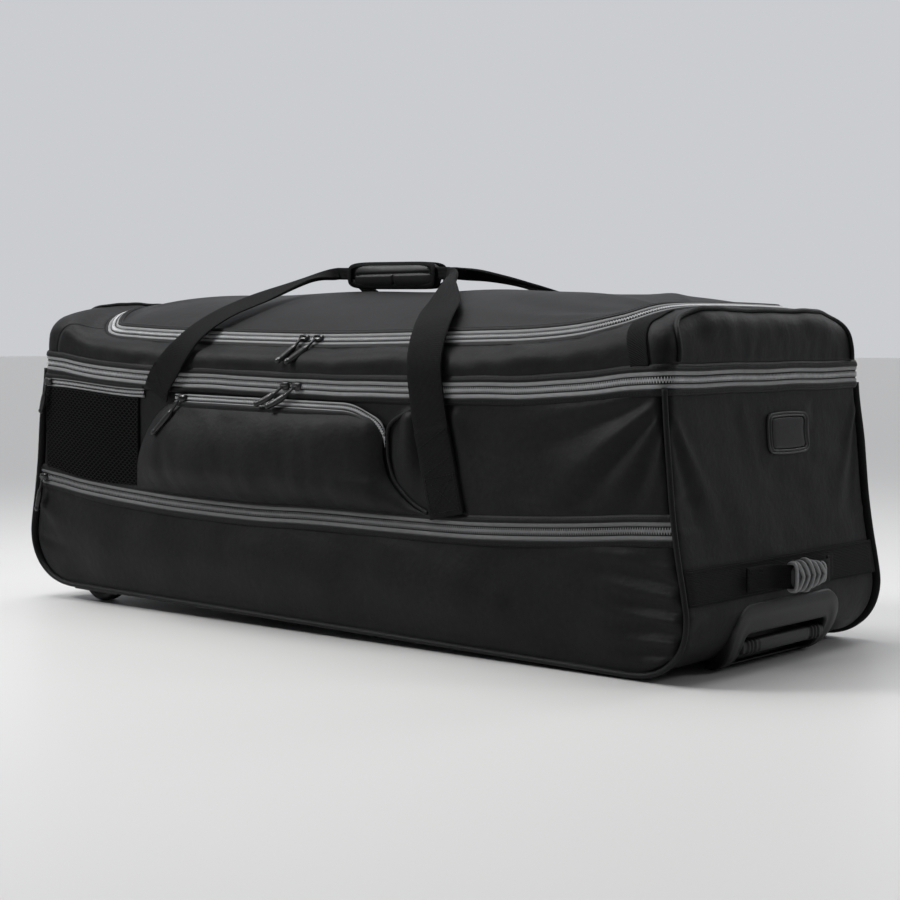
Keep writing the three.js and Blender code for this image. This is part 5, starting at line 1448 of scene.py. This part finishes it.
class KITBAG_OT_webbing(bpy.types.Operator):
    """Builds the carry straps, the band across the tow end, the tow loop and the lid's webbing strip"""

    bl_idname = "kitbag.webbing"
    bl_label = "Build webbing"

    def execute(self, context):
        stitches = []
        for name, side in (("carry_strap_front", -1), ("carry_strap_back", 1)):
            frames = strap_frames(side)
            section = np.stack([band_section(h, k) for h, k in zip(frames["half"], frames["thick"])])
            solid(name, sweep(frames, section), "webbing", nodes=[name])
            stitches += strap_stitches(frames)

        y = np.linspace(-1, 1, 90)[:, None]
        z = np.linspace(END_WEBBING_LOW, END_WEBBING_HIGH, 14)[None, :]
        x = half_length(z) + 2.8 - 1.6 * ease((np.abs(y) - 0.93) / 0.07)
        sheet("end_webbing", stack(x, y * (half_width(z) - 4), z), "webbing", THICKNESS["end_webbing"],
              nodes=["end_webbing"])
        line = np.linspace(-0.97, 0.97, 90)
        for height in (END_WEBBING_LOW + 2.5, END_WEBBING_HIGH - 2.5):
            points = stack(half_length(height) + 2.9, line * (half_width(height) - 2), height)
            stitches.append(seam_line(points, TO_TOW))

        sewn = 2.2 * (np.abs(TOW_ROWS["x"] - 515) < 1)
        points = spline(stack(TOW_ROWS["x"] + sewn, TOW_ROWS["y"], TOW_ROWS["z"]), 120)
        band = band_section(12.5, sizes().webbing / MM)
        solid("tow_loop", sweep(frames_along(points, TO_TOW), band), "webbing", nodes=["tow_loop"])
        for across, up in crossed_box(*TOW_PATCH["y"], *TOW_PATCH["z"]):
            stitches.append(seam_line(stack(TOW_PATCH["x"], across, up), TO_TOW))

        u = np.linspace(0, 1, 16)[:, None]
        v = np.linspace(0, 1, 40)[None, :]
        height = 0.02 + 0.92 * v
        x = LID_STRIP["x"] + LID_STRIP["width"] * u - LID_STRIP["lean"] * v
        grid, face = lid_skin(ring_place(x, height), height)
        sheet("lid_webbing_strip", grid + face * 1.9, "webbing", THICKNESS["lid_strip"],
              nodes=["lid_webbing_strip"])
        repeat("webbing_stitches", stitch_shape(2.9, 0.42), merge_places(stitches), "thread")
        return {"FINISHED"}


def ring_place(x, v):
    """Place number on the lid's front wall where it has a given x, found by halving."""
    x, v = np.broadcast_arrays(x, v)
    low, high = np.full(x.shape, 58.0), np.full(x.shape, 64.95)
    for _ in range(40):
        middle = (low + high) / 2
        before = lid_ring(middle, v)[..., 0] < x
        low, high = np.where(before, middle, low), np.where(before, high, middle)
    return (low + high) / 2


def swell_cloth(thing, push, cap, steps=20):
    """Blows a padded shape up as cloth, no point moving past a cap, and keeps the result as its mesh."""
    scene = bpy.context.scene
    start = np.zeros(len(thing.data.vertices) * 3)
    thing.data.vertices.foreach_get("co", start)
    cloth = thing.modifiers.new("Cloth", "CLOTH")
    cloth.settings.use_pressure = True
    cloth.settings.uniform_pressure_force = push
    cloth.settings.effector_weights.gravity = 0
    cloth.settings.quality = 6
    cloth.settings.tension_stiffness = 20
    cloth.settings.compression_stiffness = 20
    for step in range(1, steps + 1):
        scene.frame_set(step)
    shaped = thing.evaluated_get(bpy.context.evaluated_depsgraph_get()).to_mesh()
    end = np.zeros(len(shaped.vertices) * 3)
    shaped.vertices.foreach_get("co", end)
    thing.modifiers.remove(cloth)
    scene.frame_set(1)
    move = (end - start).reshape(-1, 3)
    far = np.linalg.norm(move, axis=1, keepdims=True)
    move *= np.minimum(1, cap / np.maximum(far, 1e-9))
    thing.data.vertices.foreach_set("co", (start.reshape(-1, 3) + move).ravel())
    thing.data.update()


class KITBAG_OT_grip(bpy.types.Operator):
    """Builds the padded grip wrap with its sewn channels and bound edges"""

    bl_idname = "kitbag.grip"
    bl_label = "Build grip"

    def execute(self, context):
        half = GRIP_HALF - GRIP_SWELL
        s = np.linspace(-1, 1, 40)[:, None]
        scale = np.maximum((1 - np.abs(s) ** 9) ** 0.35, 0.3)
        a, b = ring_section(1, 1, 40, 2.9).T
        grid = GRIP_MIDDLE + stack(s * half[0], a * half[1] * scale, b * half[2] * scale)
        core = solid("grip_wrap", grid, "grip", nodes=["grip_wrap"])
        remesh = core.modifiers.new("Even mesh", "REMESH")
        remesh.mode = "VOXEL"
        remesh.voxel_size = GRIP_VOXEL
        keep_shape(core)
        swell_cloth(core, GRIP_PUSH, GRIP_CAP)
        finer = core.modifiers.new("Finer", "SUBSURF")
        finer.levels = finer.render_levels = 2
        keep_shape(core)
        carve_grip(core)
        core.data.materials.clear()
        core.data.materials.append(LOOKS["grip"])

        t = np.linspace(0, 2 * np.pi, 160, endpoint=False)
        edge_x, edge_z = GRIP_HALF[0] - 3.5, GRIP_HALF[2] - 4.0
        x, z = ring_section(edge_x, edge_z, 160, 6.0).T
        for side, label in ((-1, "front"), (1, "back")):
            depth = side * (GRIP_HALF[1] - 1.6 - 5.5 * np.abs(z / edge_z) ** 5)
            wanted = stack(0, side, 0.6 * np.sin(t))
            frames = frames_along(GRIP_MIDDLE + stack(x, depth, z), wanted, closed=True)
            solid(f"grip_binding_{label}", sweep(frames, ring_section(3.2, 1.3, 12, 2.6)), "webbing", True)
        return {"FINISHED"}


def keep_shape(thing):
    """Puts what a piece's modifiers give into its own mesh and removes them."""
    shaped = bpy.data.meshes.new_from_object(thing.evaluated_get(bpy.context.evaluated_depsgraph_get()))
    thing.modifiers.clear()
    old = thing.data
    thing.data = shaped
    bpy.data.meshes.remove(old)
    shaped.polygons.foreach_set("use_smooth", np.ones(len(shaped.polygons), bool))


def carve_grip(thing):
    """Sewn channels: points move inward as a bell about a level seam and an upright seam."""
    co = np.zeros(len(thing.data.vertices) * 3)
    thing.data.vertices.foreach_get("co", co)
    co = co.reshape(-1, 3)
    face = np.zeros(len(co) * 3)
    thing.data.vertices.foreach_get("normal", face)
    face = face.reshape(-1, 3)
    middle = to_frame(GRIP_MIDDLE)
    x, z = (co[:, 0] - middle[0]) / MM, (co[:, 2] - middle[2]) / MM
    on_side = np.abs(face[:, 1]) > 0.35
    level = np.exp(-(((z - 2.0) / 1.5) ** 2)) * ease((66 - np.abs(x)) / 8)
    upright = np.exp(-(((x - 2.0) / 1.6) ** 2)) * ease((3 - z) / 4)
    depth = np.where(on_side, 1.7 * np.maximum(level, upright), 0)
    co = co - face * depth[:, None] * MM
    thing.data.vertices.foreach_set("co", co.ravel())
    thing.data.update()


class KITBAG_OT_tow_grip(bpy.types.Operator):
    """Builds the rubber tow grip with its curved ribs"""

    bl_idname = "kitbag.tow_grip"
    bl_label = "Build tow grip"

    def execute(self, context):
        s = np.linspace(-1, 1, 60)[:, None]
        scale = np.maximum((1 - np.abs(s) ** 10) ** 0.4, 0.5)
        taper = scale * (1 - TOW_TAPER * ease((s + 0.1) / 1.1))
        a, b = ring_section(1, 1, 36, 3.2).T
        core = TOW_MIDDLE + stack(a * 5.6 * scale, s * TOW_HALF_LENGTH, b * 12.6 * taper)
        solid("tow_grip_core", core, "dark_rubber")
        t = np.linspace(0, 2 * np.pi, 90, endpoint=False)

        def ring(name, line, along, section, nodes=()):
            path = TOW_MIDDLE + stack(line[:, 0], along, line[:, 1])
            frames = frames_along(path, stack(np.cos(t), 0, np.sin(t)), closed=True)
            solid(name, sweep(frames, section), "rubber", True, nodes=nodes)

        for k, place in enumerate((-22.0, -11.0, 0.0, 11.0, 22.0)):
            tall = 14.6 * (1 - TOW_TAPER * ease((place + 3) / 34)) + 1.6 * (place == 0)
            line = ring_section(6.4, tall, 90, 3.0)
            bow = 8.5 * (1 - np.abs(line[:, 1] / tall) ** 1.15) - 4.5
            ring(f"tow_grip_rib_{int(place + 30)}", line, place + bow, ring_section(1.8, 2.2, 10, 2.4),
                 ["tow_grip"] if k == 0 else ())
        for end, label, tall in ((-1, "near", 14.4), (1, "far", 10.0)):
            ring(f"tow_grip_collar_{label}", ring_section(5.6, tall, 90, 3.0), end * (TOW_HALF_LENGTH - 1.6),
                 ring_section(2.2, 1.8, 10, 2.6))
        return {"FINISHED"}


class KITBAG_OT_tray(bpy.types.Operator):
    """Builds the moulded tray with its finger recess, and the ribbed grab bar"""

    bl_idname = "kitbag.tray"
    bl_label = "Build grab handle"

    def execute(self, context):
        s = lengths(stack(TRAY_LINE["x"], TRAY_LINE["z"]))
        fine = np.linspace(0, s[-1], 400)
        px, pz = hermite(s, TRAY_LINE["x"], fine), hermite(s, TRAY_LINE["z"], fine)
        nx, nz = np.gradient(pz, fine), -np.gradient(px, fine)
        low, high = np.interp((RECESS_LOW, RECESS_HIGH), pz, fine)
        at = np.linspace(0, 60, 240, endpoint=False)
        in_a, in_b = plan_at(at, RECESS_HALF_WIDTH, (high - low) / 2, 7)[:2]
        in_b = in_b + (low + high) / 2
        out_a, out_b = plan_at(at, TRAY_HALF_WIDTH, (s[-1] - 5) / 2, 30)[:2]
        out_b = out_b + (s[-1] + 5) / 2
        out_a = out_a * (1 - 0.12 * ease((80 - out_b) / 60))

        def point(v, proud):
            """Ring a share v of the way from recess to rim, standing proud of the tray's profile."""
            a = in_a + (out_a - in_a) * v
            b = np.clip(in_b + (out_b - in_b) * v, 0, fine[-1])
            return stack(np.interp(b, fine, px) + np.interp(b, fine, nx) * proud, a,
                         np.interp(b, fine, pz) + np.interp(b, fine, nz) * proud)

        deep = point(0, -1.0)
        deep[:, 0] = RECESS_X
        centre = deep.mean(0)
        grid = [centre + (deep - centre) * k for k in (0.02, 0.5, 0.93)]
        grid += [deep + (point(0, -3.0) - deep) * k for k in (0.04, 0.35, 0.7, 1.0)]
        grid += [point(0.0, -1.2), point(0.03, -0.2), point(0.09, 0.35), point(0.16, 0.2), point(0.28, 0.0)]
        grid += [point(v, 0.9 * math.sin(math.pi * (v - 0.28) / 0.6)) for v in (0.42, 0.56, 0.7, 0.82)]
        grid += [point(0.9, 0.2), point(0.955, -0.6), point(0.99, -2.0), point(1.0, -4.0), point(1.0, -9.0)]
        rear = grid[-1] * np.array([0, 0.97, 1])
        grid.append(stack(RECESS_X - 6, rear[:, 1], np.clip(rear[:, 2], 14, 60)))
        solid("grab_tray", np.array(grid), "plastic", tilted=False, nodes=["grab_tray"])

        y = np.linspace(-1, 1, 240)[:, None] * (RECESS_HALF_WIDTH - 0.2)
        ribs = sum(np.exp(-(((np.abs(y) - k) / 1.7) ** 4)) for k in (58.0, 65.0, 72.0))
        middle = 0.35 * np.cos(np.pi * y / 120) * (np.abs(y) < 52)
        grow = 1.7 * ribs + middle + 0.8 * ease((52 - np.abs(y)) / 3) - 1.4
        a, b = ring_section(1, 1, 30, 3.0).T
        grid = stack(BAR["x"] + a * (BAR["half_x"] + grow), y, BAR["z"] + b * (BAR["half_z"] + grow))
        solid("grab_bar", grid, "plastic", tilted=False, nodes=["grab_bar"])
        return {"FINISHED"}


def soften(node, look, width):
    """Gives a hard CAD piece joined corners, small bevels and its finish."""
    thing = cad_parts[node]
    thing.data.materials.clear()
    thing.data.materials.append(LOOKS[look])
    weld = thing.modifiers.new("Joined corners", "WELD")
    weld.merge_threshold = 0.00002
    bevel = thing.modifiers.new("Soft edges", "BEVEL")
    bevel.width = width
    bevel.segments = 3
    bevel.limit_method = "ANGLE"
    bevel.angle_limit = math.radians(35)
    bevel.harden_normals = True


CARD_ROWS = rows(
    "inset rise", (0.5, -1.0), (0.0, 0.2), (0.0, 1.3), (0.3, 2.0), (0.9, 2.3), (1.6, 2.1), (2.0, 1.2),
    (2.5, 0.9), (2.9, 1.3), (3.3, 2.2), (3.9, 2.5), (4.5, 2.2), (4.9, 1.2), (5.0, -0.6))


def card_loop(inset):
    """Outline of the name-card window by inset: a rounded rectangle with bowed sides and a hollow far end."""
    at = np.linspace(0, 60, 160, endpoint=False)
    corner = max(8 - 0.6 * inset, 3)
    a, b = plan_at(at, CARD_HALF_WIDTH - 1.6 * inset, CARD_HALF_HEIGHT - inset, corner)[:2]
    hollow = 7 * min(inset / 4, 1) * np.clip(a / 38, 0, 1) ** 8 * np.clip(1 - (b / 13) ** 2, 0, 1)
    wider, taller = 0.03 * (1 - (b / CARD_HALF_HEIGHT) ** 2), 0.11 * (1 - (a / 44) ** 2)
    return a * (1 + wider) - hollow, b * (1 + taller)


def card_points(inset, rise):
    """Outline laid on the end wall and raised from it."""
    a, b = card_loop(inset)
    z = CARD_Z + b
    return stack(half_length(z) + 0.6 + rise, CARD_Y + a, z)


class KITBAG_OT_card_window(bpy.types.Operator):
    """Builds the name-card window's moulded frame and its cover"""

    bl_idname = "kitbag.card_window"
    bl_label = "Build card window"

    def execute(self, context):
        rings = np.array([card_points(inset, rise) for inset, rise in zip(*CARD_ROWS.values())])
        solid("card_frame", np.swapaxes(rings, 0, 1), "plastic", True, nodes=["card_frame"])
        rim = [card_points(5.6, -0.4), card_points(5.6, 1.0), card_points(5.9, 1.7), card_points(6.6, 2.0)]
        middle = rim[-1].mean(0)
        plate = [middle + (rim[-1] - middle) * k + 0.5 * (1 - k * k) * TO_TOW for k in (0.8, 0.5, 0.25, 0.03)]
        solid("card_panel", np.array(rim + plate), "card", nodes=["card_panel"])
        return {"FINISHED"}


def lathe(name, profile, middle, look, **facts):
    """Turned piece: a closed profile of radius and place carried round an axle that lies across the bag."""
    turn = np.linspace(0, 2 * np.pi, 96, endpoint=False)[:, None]
    grid = middle + stack(profile["r"] * np.cos(turn), profile["y"], profile["r"] * np.sin(turn))
    solid(name, grid, look, True, tilted=False, **facts)


class KITBAG_OT_wheels(bpy.types.Operator):
    """Builds the wheels with tread and hub, and finishes their housings and axles"""

    bl_idname = "kitbag.wheels"
    bl_label = "Build wheels"

    def execute(self, context):
        half = WHEEL["width"] / 2
        tread = rows(
            "r y", (25.5, -half + 1.2), (33, -half + 1.4), (35.2, -half + 3), (36, -half + 5.5), (36, -3.4),
            (35.2, -3.0), (34.6, -2.2), (34.6, 2.2), (35.2, 3.0), (36, 3.4), (36, half - 5.5),
            (35.2, half - 3), (33, half - 1.4), (25.5, half - 1.2))
        hub = rows(
            "r y", (4.4, -half), (9, -half), (10, -half + 0.8), (10.5, -half + 3.5), (22, -half + 3.5),
            (23, -half + 0.8), (24.5, -half + 0.2), (25.6, -half + 0.8), (25.6, half - 0.8),
            (24.5, half - 0.2), (23, half - 0.8), (22, half - 3.5), (10.5, half - 3.5), (10, half - 0.8),
            (9, half), (4.4, half))
        spoke = rounded_block([(place, wide, half - short, 0) for place, wide, short in (
            (-6.5, 2.6, 1.4), (0, 2.0, 1.9), (6.5, 2.6, 1.4))], 8, 4)
        turn = np.arange(6) * np.pi / 3
        away = stack(np.cos(turn), 0, np.sin(turn))
        for label, side in (("front", -1), ("back", 1)):
            middle = np.array([WHEEL["x"], side * WHEEL["y"], WHEEL["z"]])
            body = f"wheel_{label}_body"
            lathe(f"wheel_{label}_tread", tread, middle, "tyre", body=body, nodes=[f"wheel_{label}"])
            lathe(f"wheel_{label}_hub", hub, middle, "plastic", body=body)
            places = {"point": middle + 16.2 * away, "along": away,
                      "across": stack(-np.sin(turn), 0, np.cos(turn)), "out": np.tile(TO_FRONT, (6, 1))}
            repeat(f"wheel_{label}_spokes", spoke, places, "plastic", tilted=False, body=body)
            soften(f"wheel_housing_{label}", "plastic", 0.0006)
            soften(f"axle_{label}", "steel", 0.0004)
        return {"FINISHED"}


PULL_ROWS = rows(
    "reach half thick", (0.08, 1.4, 1.2), (0.14, 1.7, 1.3), (0.26, 1.6, 1.3), (0.31, 2.4, 1.8),
    (0.36, 3.4, 2.6), (0.48, 3.8, 3.0), (0.78, 3.4, 2.8), (0.84, 3.0, 2.5), (0.9, 3.7, 3.0),
    (0.96, 3.3, 2.7), (1.0, 1.4, 1.2))
SLIDER_ROWS = rows(
    "along half thick", (-7.0, 2.6, 1.4), (-5.8, 4.0, 2.3), (-2.0, 4.6, 2.6), (2.5, 4.7, 2.6),
    (5.6, 4.0, 2.3), (7.0, 2.8, 1.4))


def pull_seats():
    """Where each slider sits: place on its zip, the way out of it, and how far its pull hangs from there."""
    def on_front(x, line, proud=HALF_WIDTH + ZIP_PROUD + 3.2):
        return np.array([x, -proud, float(line(x))]), TO_FRONT

    def on_band(frames, k):
        return frames["point"][k] + frames["out"][k] * 3.4, frames["out"][k]

    def on_lid(x):
        return on_band(lid, int(np.argmin(np.abs(lid["point"][:, 0] - x))))

    lid = lid_band(np.linspace(46, 60, 300))
    mesh_x = -474.0
    mesh_y = float(front_face(mesh_x, mesh_zip_line(mesh_x))) + 4.2
    return (
        ("main_zip_pull_a", *on_front(-35, main_line), (-38, -13, -23)),
        ("main_zip_pull_b", *on_front(-16, main_line), (-36, -15, -25)),
        ("lid_zip_pull_a", *on_lid(-30), (-16, -31, -28)),
        ("lid_zip_pull_b", *on_lid(-5), (-25, -31, -29)),
        ("front_pocket_zip_pull", *on_band(pocket_zip_run()[0], 9), (-42, -13, -46)),
        ("mesh_pocket_zip_pull", *on_front(mesh_x, mesh_zip_line, mesh_y), (-12, -4, -42)),
        ("lower_zip_pull", *on_front(-486, lower_line), (-9, -6, -46)),
    )


class KITBAG_OT_pulls(bpy.types.Operator):
    """Builds the zip sliders and their pulls"""

    bl_idname = "kitbag.pulls"
    bl_label = "Build zip pulls"

    def execute(self, context):
        for name, seat, out, hang in pull_seats():
            frames = frames_along(seat + SLIDER_ROWS["along"][:, None] * TO_TOW, out)
            section = [ring_section(h, t, 12, 3.4) for h, t in zip(SLIDER_ROWS["half"], SLIDER_ROWS["thick"])]
            solid(f"{name}_slider", sweep(frames, section), "zinc", nodes=[name])
            t = np.linspace(0, np.pi, 14)[:, None]
            arch = seat - 4.2 * np.cos(t) * TO_TOW + (1.6 + 2.6 * np.sin(t)) * out
            frames = frames_along(arch, np.cross(TO_TOW, out))
            solid(f"{name}_bridge", sweep(frames, ring_section(1.5, 0.7, 8, 3.0)), "zinc")
            begin, reach = seat + out * 3.0, PULL_ROWS["reach"][:, None]
            sag = np.array([0, 0, -3.0]) * np.sin(np.pi * reach)
            path = begin + (seat + np.array(hang, float) - begin) * reach + sag
            s = lengths(path)
            even = np.linspace(0, s[-1], 40)
            half, thick = (np.interp(even, s, PULL_ROWS[key]) for key in ("half", "thick"))
            section = [ring_section(h, k, 14, 3.0) for h, k in zip(half, thick)]
            solid(f"{name}_tab", sweep(frames_along(spline(path, 40), (0, -1, 0.25)), section), "zinc")
        return {"FINISHED"}


BUILD_ORDER = (
    KITBAG_OT_finishes, KITBAG_OT_stage, KITBAG_OT_body, KITBAG_OT_lid, KITBAG_OT_zips, KITBAG_OT_piping,
    KITBAG_OT_pockets, KITBAG_OT_webbing, KITBAG_OT_grip, KITBAG_OT_tow_grip, KITBAG_OT_tray,
    KITBAG_OT_card_window, KITBAG_OT_wheels, KITBAG_OT_pulls)


class KITBAG_PT_panel(bpy.types.Panel):
    """Sidebar list of the bag's sizes, colours and building steps"""

    bl_label = "Kit bag"
    bl_idname = "KITBAG_PT_panel"
    bl_space_type = "VIEW_3D"
    bl_region_type = "UI"
    bl_category = "Kit bag"

    def draw(self, context):
        for group in (context.scene.kit_bag_sizes, context.scene.kit_bag_colours):
            box = self.layout.box()
            for key in group.__annotations__:
                box.prop(group, key)
        for step in BUILD_ORDER:
            self.layout.operator(step.bl_idname)


CLASSES = (KitBagColours, KitBagSizes, *BUILD_ORDER, KITBAG_PT_panel)


def register():
    for item in CLASSES:
        bpy.utils.register_class(item)
    bpy.types.Scene.kit_bag_colours = PointerProperty(type=KitBagColours)
    bpy.types.Scene.kit_bag_sizes = PointerProperty(type=KitBagSizes)


def unregister():
    del bpy.types.Scene.kit_bag_sizes
    del bpy.types.Scene.kit_bag_colours
    for item in reversed(CLASSES):
        bpy.utils.unregister_class(item)


def main():
    register()
    for step in BUILD_ORDER:
        family, action = step.bl_idname.split(".")
        if getattr(getattr(bpy.ops, family), action)() != {"FINISHED"}:
            raise RuntimeError(f"{step.bl_label} did not finish")


if __name__ == "__main__":
    main()
